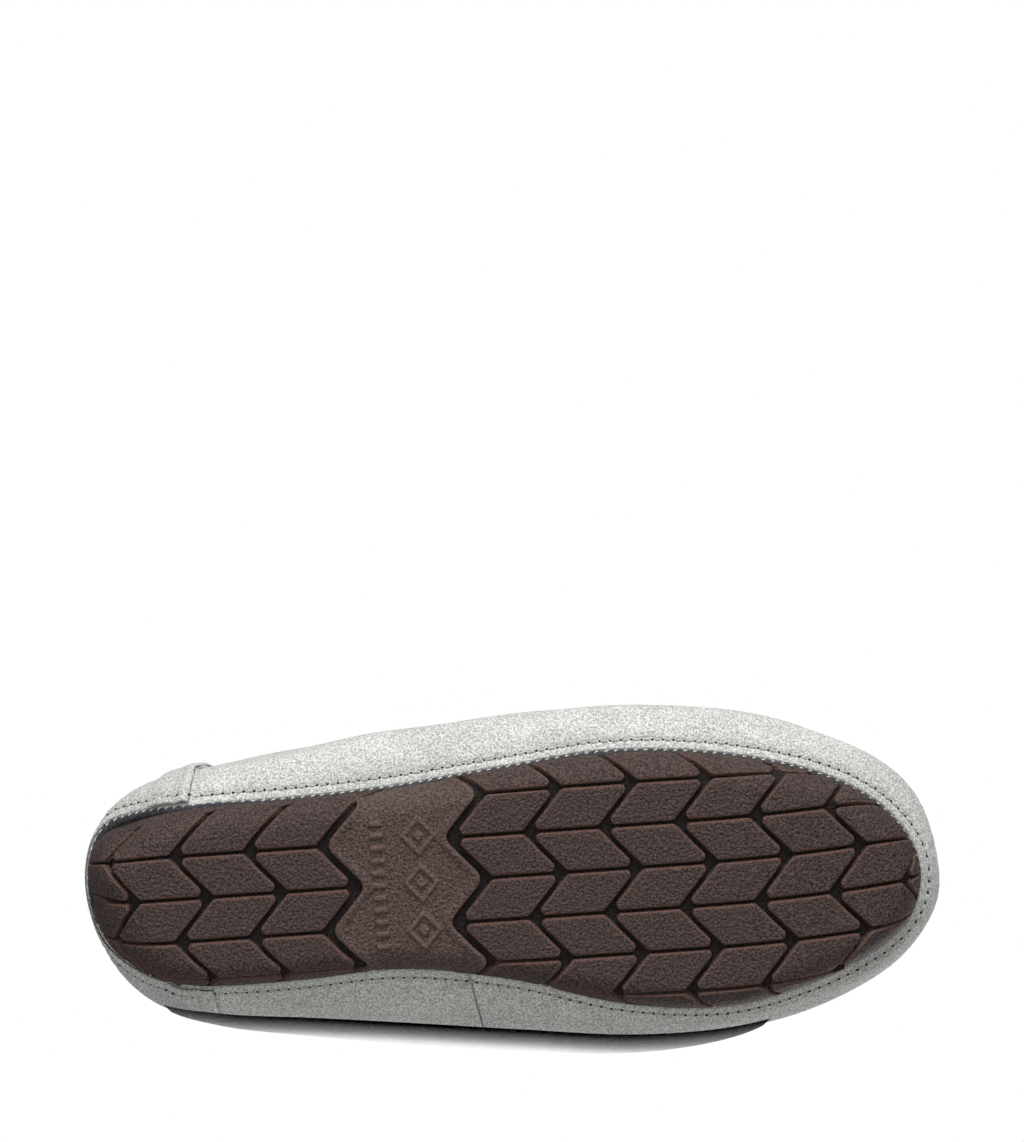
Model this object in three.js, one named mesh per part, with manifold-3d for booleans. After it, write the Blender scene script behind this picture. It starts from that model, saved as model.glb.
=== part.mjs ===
// Fluffy house slipper, right foot: a moccasin with a moulded rubber outsole, a suede upper and a wool lining.
// Millimetres. +X points to the toe, +Y to the inner side of the foot, +Z up; the tread rests on z = 0.
import * as THREE from "three";
import { mergeVertices } from "three/addons/utils/BufferGeometryUtils.js";
import Module from "manifold-3d";

// Overall sizes
const soleLength = 264.8;
const soleWidth = 83;
const toeOverhang = 5.3; // suede beyond the rubber at the toe
const heelInset = 1.5; // suede behind the rubber heel wrap
const sideOverhang = 12; // typical bulge of the suede beyond the rubber
const upperHeight = 60; // top line at the throat
const originShift = 1.7; // from the middle of the sole and toe to the middle of the whole slipper, cuff included

// Outsole
const lugHeight = 3;
const baseThickness = 2.6;
const rimHeight = 9.5;
const rimThickness = 2.4;
const edgeRadius = 9;
const heelRadius = 19.5;
const heelWrapRise = 17; // the rim climbs this much more at the back
const toeSpring = 9; // rise of the tread at the toe
const springStart = 65; // x where it begins
const lugRoot = 1.2; // how far a lug reaches into the base
const lugRimDrop = 0.5; // the lugs end this far below the rim
const sectionAngles = [0, 30, 60, 90]; // stations on the rounded edge, from the flat to the rim
const floorAngle = 50; // where the shell's wall meets its floor
const flatShare = 0.15; // each layer's flat starts further in by this share of its depth
const rimGrooveShare = 0.5; // share of the lug height that the grooves lose at the rim

// Tread
const rowPitch = 13.55;
const firstRowEdge = -32.1;
const rowCount = 6;
const heelRows = 4;
const rowGroove = 1.6;
const slant = 12.1; // how far each zigzag line steps along the sole in one row
const slantGroove = 2.7; // measured along the sole
const forefootPitch = 23.7;
const heelPitch = 23.2;
const plateFront = -18.8;
const plateBack = -60;
const plateGap = 3.6;
const forefootLines = 7;
const heelLines = 4;

// Layers, from the rubber inwards
const clearance = 0.3;
const layerGap = 0.9; // between curved layers
const feltThickness = 1.6;
const feltLip = 1; // felt that shows beyond the rubber
const suedeThickness = 1.6;
const suedeStart = 1.5; // lower edge of the suede above the felt
const patchThickness = 1.4;
const patchClearance = 0.7; // between the heel patch and the panels it laps
const counterThickness = 1.4;
const liningThickness = 6;
const insoleThickness = 8.5;
const insoleCover = 5; // wool on top of the insole cushion
const threadRadius = 0.45;
const threadLift = 0.6; // gap under a stitch row
const stitchInset = 4; // from the suede's lower edge to its stitch row
const stitchRamp = 0.09; // over which a stitch row climbs on to the heel patch, in the cosine of the sweep
const patchSeam = 0.067; // from the patch's front edge to its stitch row, as a sweep angle
const cuffThickness = 8;
const cuffDrop = 17; // how far the cuff hangs over the suede
const cuffRise = 7; // and how far it stands above the edge
const cuffLift = 1.4;
const cuffStandoff = 3.2; // from the suede's face, over the heel patch
const insoleInset = 4;
const insoleHeelInset = 21.5;
const midsoleLift = 0.6; // gap between the midsole and the rubber floor
const midsoleLower = [9, 25.5]; // inset of its lower face at the sides and at the heel
const midsoleUpper = [7, 16.6];
const boardFlat = 14.6; // inset of the board's flat at the heel
const boardBend = [8.8, 0.4]; // inset of its bend there, and share of the heel wrap that it climbs
const boardEdge = 5.4; // inset of its edge zone

// Where the suede panels meet, as x positions
const patchFrontOuter = -98;
const patchFrontInner = -95;
const patchLap = 10;
const innerSeam = -10;
const throat = 33;
const seamGap = 0.005; // half the gap between two panels, as a sweep angle
const apronTip = 0.12; // sweep angle between the apron's end and the toe
const apronLiningTip = 0.35;
const apronWidth = 0.97; // shares of the width between the two seams
const apronLiningWidth = 0.7;
const counterSweep = 0.8;

// Lower and upper edges of the layers, as levels from 0 at the sole to 4 at the top edge
const wholeHeight = [0, 4];
const patchHeight = [0.3, 4];
const patchSeamHeight = [0.75, 2.6];
const counterHeight = [0.6, 3];
const liningHeight = [0.55, 3.9];
const heelLiningHeight = [0.9, 4];

// Grid lines along and across each panel
const grids = {
  vamp: [34, 8],
  quarter: [12, 8],
  patch: [18, 8],
  apron: [12, 9],
  counter: [12, 5],
  vampLining: [26, 6],
  quarterLining: [30, 6],
  apronLining: [9, 7],
};
const openingSteps = 44;
const throatSteps = 12;
const throatReach = 0.92; // share of the apron's width that the throat edge crosses
const soleStitches = 96;
const apronStitches = 40;
const patchStitches = 8;

// Colour and roughness
const materials = {
  suede: [0xcfd0cb, 0.9],
  rubber: [0x463a36, 0.75],
  felt: [0x3b3f44, 0.95],
  foam: [0xd8d4c8, 0.9],
  wool: [0xdddcd6, 1],
  thread: [0xe8e8e2, 0.7],
  board: [0x9a8f7c, 0.8],
};

// Plan shapes: y at every 15 degrees of sweep from the heel, outer side first, then back along the inner side.
// The sole's are shares of its width, the overhang's are shares of sideOverhang.
const soleShape = [
  -0.084, -0.283, -0.361, -0.392, -0.398, -0.416, -0.458, -0.494, -0.464, -0.386, -0.265, -0.102,
  0.072, 0.235, 0.355, 0.452, 0.512, 0.47, 0.349, 0.283, 0.295, 0.295, 0.259, 0.139,
];
const overhangShape = [
  0, -0.21, -0.5, -0.71, -1, -1.21, -1.12, -0.96, -0.92, -0.75, -0.67, -0.5,
  0.17, 0.25, 0.54, 0.62, 0.71, 1.04, 1.54, 1.62, 1.21, 0.96, 0.79, 0.46,
];
const axisSlope = 0.048; // the foot's middle line swings towards the inner side
const axisReach = 0.6; // share of the length that the middle line covers

// Upper section keys: [x, value]. Heights of the widest line, the shoulder and the top line,
// then how far the last two lie towards the middle line.
const wideHeight = [[-134, 37], [-100, 27], [-60, 24], [80, 24], [110, 26.5], [135, 30]];
const shoulderHeight = [[-134, 50], [-60, 41], [0, 40], [35, 44], [90, 40], [135, 38.5]];
const topHeight = [
  [-134, 62], [-105, 59], [-60, 53], [-15, 52], [15, 56],
  [35, upperHeight], [60, 57], [90, 51], [115, 46.5], [135, 44.5],
];
const shoulderShare = [[-134, 0.03], [-60, 0.05], [0, 0.08], [60, 0.13], [135, 0.16]];
const topShare = [
  [-134, 0.1], [-105, 0.15], [-60, 0.19], [-15, 0.24], [35, 0.35],
  [60, 0.4], [90, 0.44], [115, 0.5], [135, 0.56],
];
const lowerOut = 0.62; // the suede leaves the sole steeply outwards
const lowerUp = 0.3;
const apronCrown = [[25, 10], [70, 8], [105, 4]]; // height of the apron's middle above its seam
const crownPower = 0.9;
const crownWidth = 30; // the crown fades where the apron is narrower than this

const weldTolerance = 0.02; // booleans leave slivers thinner than this
const soleSteps = 48;
const threadSides = 4;
const turn = 2 * Math.PI;
const up = new THREE.Vector3(0, 0, 1);
const step = 0.01; // for slopes
const mix = THREE.MathUtils.lerp;
const ramp = THREE.MathUtils.smoothstep;

// Value at angle theta of a closed Catmull-Rom curve through evenly spaced values.
function around(values, theta) {
  const n = values.length;
  const position = (((theta / turn) % 1) + 1) % 1 * n;
  const i = Math.floor(position);
  const t = position - i;
  const [a, b, c, d] = [-1, 0, 1, 2].map((k) => values[(i + k + n) % n]);
  return b + 0.5 * t * (c - a + t * (2 * a - 5 * b + 4 * c - d + t * (3 * (b - c) + d - a)));
}

// Value at x of a smooth curve through [x, value] keys, level beyond the ends.
function along(keys, x) {
  const last = keys.length - 1;
  if (x <= keys[0][0]) return keys[0][1];
  if (x >= keys[last][0]) return keys[last][1];
  const i = keys.findIndex((key) => key[0] > x) - 1;
  const slope = (k) => {
    const [a, b] = [keys[Math.max(k - 1, 0)], keys[Math.min(k + 1, last)]];
    return (b[1] - a[1]) / (b[0] - a[0]);
  };
  const span = keys[i + 1][0] - keys[i][0];
  const t = (x - keys[i][0]) / span;
  const s = 1 - t;
  return (
    keys[i][1] * s * s * (1 + 2 * t) + keys[i + 1][1] * t * t * (1 + 2 * s) +
    span * (slope(i) * t * s * s - slope(i + 1) * t * t * s)
  );
}

// Sole and upper outlines in plan
const soleStart = -(soleLength + toeOverhang) / 2;

function solePlan(theta) {
  const x = soleStart + (soleLength * (1 - Math.cos(theta))) / 2;
  return new THREE.Vector3(x, soleWidth * around(soleShape, theta), 0);
}

function widePlan(theta) {
  const length = soleLength + toeOverhang - heelInset;
  const y = soleWidth * around(soleShape, theta) + sideOverhang * around(overhangShape, theta);
  return new THREE.Vector3(soleStart + heelInset + (length * (1 - Math.cos(theta))) / 2, y, 0);
}

const sweepAt = (x) => {
  const half = (soleLength + toeOverhang - heelInset) / 2;
  return Math.acos(THREE.MathUtils.clamp(1 - (x - soleStart - heelInset) / half, -1, 1));
};

const middleAt = (x) => new THREE.Vector3(axisReach * x, axisSlope * axisReach * x, 0);
const heelShare = (x) => 1 - ramp(x, soleStart + 3, soleStart + 37);

// Outward direction at the sole outline in plan
function soleNormal(theta) {
  return solePlan(theta + step).sub(solePlan(theta - step)).cross(up).normalize();
}

const springAt = (x) => (x > springStart ? toeSpring * ((x - springStart) / springStart) ** 2 : 0);
const rimAt = (theta) => {
  const x = solePlan(theta).x;
  return rimHeight + heelWrapRise * heelShare(x) + springAt(x);
};

// Point of the sole's rounded lower surface, moved in by inset: level at phi = 0, upright at phi = 90 degrees.
function solePoint(theta, phi, inset) {
  const c = solePlan(theta);
  const share = heelShare(c.x);
  const across = mix(edgeRadius, heelRadius, share);
  const high = rimHeight + heelWrapRise * share;
  const depth = inset * (1 - rimGrooveShare * Math.sin(phi) ** 2);
  const flat = across + flatShare * depth;
  const p = c.addScaledVector(soleNormal(theta), (across - depth) * Math.sin(phi) - flat);
  p.z = springAt(p.x) + high - (high - depth) * Math.cos(phi);
  return p;
}

// Point of the sole outline moved inwards, at a height above its spring line
function soleInside(theta, inset, height) {
  const p = solePlan(theta).addScaledVector(soleNormal(theta), -inset);
  p.z = springAt(p.x) + height;
  return p;
}

// Outer suede surface: a smooth curve up through five levels, v = 0 at the sole to v = 4 at the top edge.
function levels(theta) {
  const low = solePlan(theta);
  low.addScaledVector(soleNormal(theta), clearance);
  low.z = rimAt(theta) + feltThickness + suedeStart;
  const wide = widePlan(theta);
  const middle = middleAt(wide.x);
  const x = wide.x;
  const inward = (share, height) => {
    const p = wide.clone().lerp(middle, share);
    p.z = height;
    return p;
  };
  wide.z = along(wideHeight, x);
  const flare = low.clone().lerp(wide, lowerOut);
  flare.z = mix(low.z, wide.z, lowerUp);
  return [
    low, flare, wide,
    inward(along(shoulderShare, x), along(shoulderHeight, x)),
    inward(along(topShare, x), along(topHeight, x)),
  ];
}

function upperPoint(theta, v) {
  const k = levels(theta);
  const i = Math.min(Math.floor(v), 3);
  const t = v - i;
  const before = k[i - 1] ?? k[0].clone().multiplyScalar(2).sub(k[1]);
  const after = k[i + 2] ?? k[4].clone().multiplyScalar(2).sub(k[3]);
  const [b, c] = [k[i], k[i + 1]];
  const p = new THREE.Vector3();
  for (const axis of ["x", "y", "z"]) {
    const [p0, p1, p2, p3] = [before[axis], b[axis], c[axis], after[axis]];
    p[axis] = p1 + 0.5 * t * (p2 - p0 + t * (2 * p0 - 5 * p1 + 4 * p2 - p3 + t * (3 * (p1 - p2) + p3 - p0)));
  }
  return p;
}

function upperFrame(theta, v) {
  const [above, below] = [Math.min(v + step, 4), Math.max(v - step, 0)];
  const rise = upperPoint(theta, above).sub(upperPoint(theta, below)).normalize();
  const run = upperPoint(theta + step, v).sub(upperPoint(theta - step, v)).normalize();
  const out = run.clone().cross(rise).normalize();
  return { at: upperPoint(theta, v), out, rise };
}

const upperOffset = (theta, v, offset) => {
  const frame = upperFrame(theta, v);
  return frame.at.addScaledVector(frame.out, offset);
};

// Apron surface: for a seam station theta, w runs from -1 at the outer seam to 1 at the inner seam.
function apronPoint(theta, w) {
  const a = upperPoint(theta, 4);
  const b = upperPoint(-theta, 4);
  const p = a.clone().lerp(b, (w + 1) / 2);
  p.z += along(apronCrown, p.x) * (1 - w * w) ** crownPower * Math.min(1, b.distanceTo(a) / crownWidth);
  return p;
}

function apronOffset(theta, w, offset) {
  const across = apronPoint(theta, Math.min(w + step, 1)).sub(apronPoint(theta, Math.max(w - step, -1)));
  const ahead = apronPoint(theta + step, w).sub(apronPoint(theta - step, w));
  const out = ahead.cross(across).normalize();
  if (out.z < 0) out.negate();
  return apronPoint(theta, w).addScaledVector(out, offset);
}

// --- mesh helpers

function solid(points, faces) {
  const geometry = new THREE.BufferGeometry().setFromPoints(points);
  let volume = 0;
  for (const [a, b, c] of faces) volume += points[a].dot(points[b].clone().cross(points[c]));
  geometry.setIndex(faces.flatMap(([a, b, c]) => (volume > 0 ? [a, b, c] : [a, c, b])));
  geometry.computeVertexNormals();
  return geometry;
}

// Faces of a grid of point indices, optionally closed along its rows and columns
function gridFaces(rows, columns, index, closeRows, closeColumns) {
  const faces = [];
  for (let i = 0; i < rows - (closeRows ? 0 : 1); i++)
    for (let j = 0; j < columns - (closeColumns ? 0 : 1); j++) {
      const [a, b, c, d] = [index(i, j), index(i + 1, j), index(i + 1, j + 1), index(i, j + 1)];
      faces.push([a, b, c], [a, c, d]);
    }
  return faces;
}

// A profile ring at each station, joined along the stations and round the profile
function sweptLoop(rings) {
  const [n, m] = [rings.length, rings[0].length];
  return solid(rings.flat(), gridFaces(n, m, (i, j) => (i % n) * m + (j % m), true, true));
}

// The same with flat ends
function sweptStrip(rings) {
  const [n, m] = [rings.length, rings[0].length];
  const faces = gridFaces(n, m, (i, j) => i * m + (j % m), false, true);
  const last = (n - 1) * m;
  for (let j = 1; j < m - 1; j++) faces.push([0, j, j + 1], [last, last + j + 1, last + j]);
  return solid(rings.flat(), faces);
}

// Closed body from outlines stacked from one face to the other; its two faces are strips across the outline.
function stacked(rings) {
  const [n, m] = [rings.length, rings[0].length];
  const faces = gridFaces(n, m, (i, j) => i * m + (j % m), false, true);
  for (const [first, flip] of [[0, false], [(n - 1) * m, true]])
    for (let j = 0; j < m / 2; j++) {
      const [a, b, c, d] = [j, j + 1, m - j - 1, (m - j) % m].map((k) => first + k);
      for (const f of [[a, b, c], [a, c, d]]) {
        if (new Set(f).size === 3) faces.push(flip ? f.reverse() : f);
      }
    }
  return solid(rings.flat(), faces);
}

// A panel between two layers of the same grid: at(i, j, layer) gives its points.
function panel(rows, columns, at) {
  const rings = [];
  for (let i = 0; i < rows; i++) {
    const ring = [];
    for (let j = 0; j < columns; j++) ring.push(at(i / (rows - 1), j / (columns - 1), 0));
    for (let j = columns - 1; j >= 0; j--) ring.push(at(i / (rows - 1), j / (columns - 1), 1));
    rings.push(ring);
  }
  const m = 2 * columns;
  const faces = gridFaces(rows, m, (i, j) => i * m + (j % m), false, true);
  for (const [first, flip] of [[0, false], [(rows - 1) * m, true]])
    for (let j = 0; j < columns - 1; j++) {
      const [a, b, c, d] = [j, j + 1, m - j - 2, m - j - 1].map((k) => first + k);
      for (const f of [[a, b, c], [a, c, d]]) faces.push(flip ? f.reverse() : f);
    }
  return solid(rings.flat(), faces);
}

const outline = (count, point) => Array.from({ length: count }, (_, k) => point((k / count) * turn));

// --- booleans

const wasm = await Module();
wasm.setup();

function toManifold(geometry) {
  const bare = geometry.clone();
  bare.deleteAttribute("normal");
  bare.deleteAttribute("uv");
  const merged = mergeVertices(bare, 1e-4);
  const index = merged.index.array;
  return new wasm.Manifold(
    new wasm.Mesh({
      numProp: 3,
      vertProperties: new Float32Array(merged.attributes.position.array),
      triVerts: new Uint32Array(index),
    }),
  );
}

function fromManifold(body) {
  const mesh = body.getMesh();
  const geometry = new THREE.BufferGeometry();
  geometry.setAttribute("position", new THREE.BufferAttribute(new Float32Array(mesh.vertProperties), 3));
  geometry.setIndex(Array.from(mesh.triVerts));
  geometry.computeVertexNormals();
  return geometry;
}

// --- outsole

const zigzag = (row) => (row % 2 === 0 ? slant : 0); // row edges alternate between the two ends of the slant
const rowEdge = (row) => firstRowEdge + rowPitch * row;
const zigzagLines = [
  ...Array.from({ length: heelLines }, (_, k) => plateBack - heelPitch * (heelLines - k)),
  plateBack,
  plateFront,
  ...Array.from({ length: forefootLines }, (_, k) => plateFront + forefootPitch * (k + 1)),
];

// Upright prism that reaches past the outsole both ways
function prism(corners) {
  const shape = new THREE.Shape(corners.map(([x, y]) => new THREE.Vector2(x, y)));
  const geometry = new THREE.ExtrudeGeometry(shape, { depth: 2 * upperHeight, bevelEnabled: false });
  return toManifold(geometry.translate(0, 0, -upperHeight));
}

// One lug: the cell between two row grooves and two zigzag lines. Edge rows run on past the rim at the heel.
function lugPrism(row, back, front, runOut) {
  const low = rowEdge(row) + (runOut < 0 ? -rowPitch : rowGroove / 2);
  const high = rowEdge(row + 1) + (runOut > 0 ? rowPitch : -rowGroove / 2);
  const at = (x, y) => x + mix(zigzag(row), zigzag(row + 1), (y - rowEdge(row)) / rowPitch);
  const half = slantGroove / 2;
  return prism([
    [at(back + half, low), low], [at(front - half, low), low],
    [at(front - half, high), high], [at(back + half, high), high],
  ]);
}

// The waist plate: one piece across all rows, with zigzag ends
function platePrism() {
  const rows = Array.from({ length: rowCount + 3 }, (_, k) => k - 1);
  const side = (x) => rows.map((row) => [x + zigzag(Math.abs(row)), rowEdge(row)]);
  return prism([...side(plateFront - plateGap / 2).reverse(), ...side(plateBack + plateGap / 2)]);
}

const upright = sectionAngles.at(-1);

// Rubber shell under a lower surface moved in by inset, with its floor and its rim wall of given thickness
function shellBody(inset, thickness, wall, drop) {
  const ring = (degrees, depth, lower) => outline(soleSteps, (theta) => {
    const p = solePoint(theta, THREE.MathUtils.degToRad(degrees), depth);
    p.z -= lower;
    return p;
  });
  const atRim = inset + wall / (1 - rimGrooveShare);
  return toManifold(stacked([
    ...sectionAngles.map((degrees) => ring(degrees, inset, degrees === upright ? drop : 0)),
    ring(upright, atRim, drop),
    ring(floorAngle, inset + thickness, 0),
    ring(0, inset + thickness, 0),
  ]));
}

function makeOutsole() {
  const skinWall = lugHeight * (1 - rimGrooveShare) + rimThickness / 2;
  const skin = shellBody(0, lugHeight + lugRoot, skinWall, lugRimDrop);
  let body = shellBody(lugHeight, baseThickness, rimThickness, 0).add(skin.intersect(platePrism()));
  zigzagLines.slice(1).forEach((front, k) => {
    const back = zigzagLines[k];
    if (back === plateBack) return;
    const [first, last] = front > plateBack ? [-1, rowCount] : [0, heelRows - 1];
    for (let row = first; row <= last; row++) {
      const runOut = front > plateBack ? 0 : (row === last) - (row === first);
      body = body.add(skin.intersect(lugPrism(row, back, front, runOut)));
    }
  });
  // Slivers of lugs that don't reach the base are left out.
  const pieces = body.decompose().sort((one, other) => other.volume() - one.volume());
  return fromManifold(pieces[0].simplify(weldTolerance));
}

// --- layers on the sole

const boardLow = rimHeight + midsoleLift;
const boardTop = boardLow + feltThickness;

// Outline of the sole moved in by one amount at the sides and another at the heel, at a height above the spring
// line; climb is the share of the heel wrap's rise that it follows, and a small early widens the heel's zone.
const level = (side, heel, height, climb, early = 1) => outline(soleSteps, (theta) => {
  const share = heelShare(solePlan(theta).x);
  const p = soleInside(theta, mix(side, heel, share ** early), height);
  p.z += climb * heelWrapRise * share;
  return p;
});

// Foam that fills the rubber shell up to its side rim
const makeMidsole = () => stacked([
  level(...midsoleLower, lugHeight + baseThickness + midsoleLift, 0, 0.5),
  level(...midsoleUpper, rimHeight - clearance, 0, 0.5),
]);

// The board bonds to the rim, so its edge climbs the heel with it.
function makeBoard() {
  const [bendInset, bendClimb] = boardBend;
  const face = (height) => [
    level(boardFlat, boardFlat, height, 0),
    level(bendInset, bendInset, height, bendClimb),
    level(boardEdge, boardEdge, height, 1),
    level(-feltLip, 0, height, 1),
  ];
  return stacked([...face(boardLow), ...face(boardTop).reverse()]);
}

const inSweep = (x) => turn - sweepAt(x); // the same station on the inner side

// Part of the upper between two sweep angles and two levels, as a layer at a depth under the suede's face
function upperLayer(from, to, [low, high], depth, thickness, [rows, columns]) {
  return panel(rows, columns, (s, t, layer) =>
    upperOffset(mix(from, to, s), mix(low, high, t), -depth - layer * thickness));
}

// Part of the apron from its throat edge to its toe end
function apronLayer(to, share, depth, thickness, [rows, columns]) {
  return panel(rows, columns, (s, t, layer) =>
    apronOffset(mix(throatSweep, Math.PI - to, s), share * mix(-1, 1, t), -depth - layer * thickness));
}

// A thin cord along a route of points, each with the direction that faces out
function cord(route, radius, closed) {
  const n = route.length;
  const rings = route.map(({ at, out }, k) => {
    const before = route[closed ? (k + n - 1) % n : Math.max(k - 1, 0)].at;
    const after = route[closed ? (k + 1) % n : Math.min(k + 1, n - 1)].at;
    const side = after.clone().sub(before).cross(out).normalize();
    return Array.from({ length: threadSides }, (_, j) => {
      const angle = (j / threadSides) * turn;
      const [a, b] = [radius * Math.cos(angle), radius * Math.sin(angle)];
      return at.clone().addScaledVector(out, a).addScaledVector(side, b);
    });
  });
  return closed ? sweptLoop(rings) : sweptStrip(rings);
}

// --- insole and inner layers

const makeInsole = (low, high) =>
  stacked([low, high].map((height) => level(insoleInset, insoleHeelInset, height, 0, 0.2)));

const cushionTop = boardTop + insoleThickness - insoleCover;
const patchFace = patchThickness + patchClearance;
const frontDepth = suedeThickness + layerGap;
const heelDepth = frontDepth + counterThickness + layerGap;

// Sweep angles of the seams
const patchOuter = sweepAt(patchFrontOuter);
const patchInner = -sweepAt(patchFrontInner);
const lapOuter = sweepAt(patchFrontOuter - patchLap);
const lapInner = inSweep(patchFrontInner - patchLap);
const seam = inSweep(innerSeam);
const throatSweep = sweepAt(throat);

// --- cuff

// Turn each frame's directions towards its neighbours'; the first passes smooth the route too.
function smoothFrames(frames, passes, routePasses) {
  let smooth = frames;
  for (let pass = 0; pass < passes; pass++)
    smooth = smooth.map((frame, k) => {
      const [before, after] = [smooth.at(k - 1), smooth[(k + 1) % smooth.length]];
      const mean = (key) => before[key].clone().add(after[key]).multiplyScalar(0.5).lerp(frame[key], 0.5);
      const out = mean("out").normalize();
      const rise = mean("rise");
      rise.addScaledVector(out, -rise.dot(out)).normalize();
      return { at: pass < routePasses ? mean("at") : frame.at, out, rise };
    });
  return smooth;
}

// Frames round the foot opening: back along the outer side, round the heel, forward, and across the apron
function openingFrames() {
  const back = Array.from({ length: openingSteps + 1 }, (_, k) =>
    upperFrame(mix(throatSweep, -throatSweep, k / openingSteps), 4));
  const front = Array.from({ length: throatSteps + 1 }, (_, k) => {
    const w = throatReach * mix(1, -1, k / throatSteps);
    const at = apronPoint(throatSweep, w);
    const rise = apronPoint(throatSweep - step, w).sub(at).normalize();
    const out = apronOffset(throatSweep, w, 1).sub(at);
    return { at, out, rise };
  });
  return smoothFrames([...back, ...front], 6, 2);
}

// Wool cuff folded over the top edge: [out from the suede's face, above the edge]
function makeCuff() {
  const inner = -heelDepth - liningThickness;
  const profile = [
    [cuffStandoff, -cuffDrop], [cuffThickness * 0.8, -cuffDrop * 0.9], [cuffThickness, -cuffDrop * 0.4],
    [cuffThickness * 0.8, cuffRise * 0.7], [cuffThickness * 0.1, cuffRise], [inner * 0.7, cuffRise * 0.9],
    [inner, cuffLift], [cuffStandoff, cuffLift],
  ];
  return sweptLoop(openingFrames().map(({ at, out, rise }) =>
    profile.map(([a, b]) => at.clone().addScaledVector(out, a).addScaledVector(rise, b))));
}

// --- stitch rows

// How far the patch lifts a stitch row at a sweep angle: nothing in front of its edges, all of it behind them
function patchLift(theta) {
  const edge = theta % turn < Math.PI ? patchOuter : patchInner;
  const beyond = Math.cos(theta) - Math.cos(edge);
  return patchFace * ramp(beyond, -stitchRamp, 0);
}

// Stitch row on the suede's face or on the heel patch
function rowOnUpper(count, route, closed) {
  const frames = Array.from({ length: count }, (_, k) => {
    const [theta, v] = route(k / (closed ? count : count - 1));
    const frame = upperFrame(theta, v);
    frame.at.addScaledVector(frame.out, patchLift(theta) + threadRadius + threadLift);
    return frame;
  });
  return cord(frames, threadRadius, closed);
}

// Level on the upper that lies a given distance from the lower edge
function levelFromEdge(theta, distance) {
  const [low, flare] = levels(theta);
  return distance / low.distanceTo(flare);
}

function makeStrobelThread() {
  const frames = Array.from({ length: soleSteps }, (_, k) => {
    const theta = (k / soleSteps) * turn;
    const at = solePlan(theta).addScaledVector(soleNormal(theta), feltLip + threadRadius + clearance);
    at.z = rimAt(theta) + boardLow - rimHeight + feltThickness / 2;
    return { at, out: soleNormal(theta) };
  });
  return cord(frames, threadRadius, true);
}

const apronThreadStart = sweepAt(throat + cuffDrop + 4);
const apronRoute = (t) => [mix(apronThreadStart, turn - apronThreadStart, t), 4];
const soleRoute = (t) => [t * turn, levelFromEdge(t * turn, stitchInset)];
const patchRoute = (theta) => (t) => [theta, mix(...patchSeamHeight, t)];

// --- the slipper

const model = new THREE.Group();
model.position.x = originShift;

function add(name, geometry, [color, roughness]) {
  const mesh = new THREE.Mesh(geometry, new THREE.MeshStandardMaterial({ color, roughness, metalness: 0 }));
  mesh.name = name;
  model.add(mesh);
}

const { suede, rubber, felt, foam, wool, thread, board } = materials;

add("outsole", makeOutsole(), rubber);
add("midsole_foam", makeMidsole(), foam);
add("strobel_board", makeBoard(), felt);
add("insole_cushion", makeInsole(boardTop + layerGap, cushionTop), foam);
add("insole_wool", makeInsole(cushionTop + clearance, boardTop + insoleThickness), wool);

const [vampEnd, quarterStart] = [seam - seamGap, seam + seamGap];
const liningFront = [throatSweep + seamGap, turn - throatSweep - seamGap];
const liningBack = [seamGap - throatSweep, throatSweep - seamGap];
add("vamp", upperLayer(lapOuter, vampEnd, wholeHeight, 0, suedeThickness, grids.vamp), suede);
add("medial_quarter", upperLayer(quarterStart, lapInner, wholeHeight, 0, suedeThickness, grids.quarter), suede);
add("heel_patch",
  upperLayer(patchInner, patchOuter, patchHeight, -patchFace, patchThickness, grids.patch), suede);
add("apron", apronLayer(apronTip, apronWidth, 0, suedeThickness, grids.apron), suede);
add("heel_counter",
  upperLayer(-counterSweep, counterSweep, counterHeight, frontDepth, counterThickness, grids.counter), board);

add("vamp_lining",
  upperLayer(...liningFront, liningHeight, frontDepth, liningThickness, grids.vampLining), wool);
add("quarter_lining",
  upperLayer(...liningBack, heelLiningHeight, heelDepth, liningThickness, grids.quarterLining), wool);
add("apron_lining",
  apronLayer(apronLiningTip, apronLiningWidth, frontDepth, liningThickness, grids.apronLining), wool);
add("collar_cuff", makeCuff(), wool);

add("strobel_thread", makeStrobelThread(), thread);
add("sole_stitch_thread", rowOnUpper(soleStitches, soleRoute, true), thread);
add("apron_thread", rowOnUpper(apronStitches, apronRoute, false), thread);
add("patch_thread_outer", rowOnUpper(patchStitches, patchRoute(patchOuter - patchSeam), false), thread);
add("patch_thread_inner", rowOnUpper(patchStitches, patchRoute(patchInner + patchSeam), false), thread);

export default model;
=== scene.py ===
# Fluffy house slipper, right foot: rubber outsole, brushed suede upper, curly wool cuff, lining and insole.
# Shapes are worked out in millimetres in the frame of the CAD part and turned to metres when a mesh is made.
import bpy
import math
import numpy as np
from mathutils import Matrix, Vector


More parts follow.
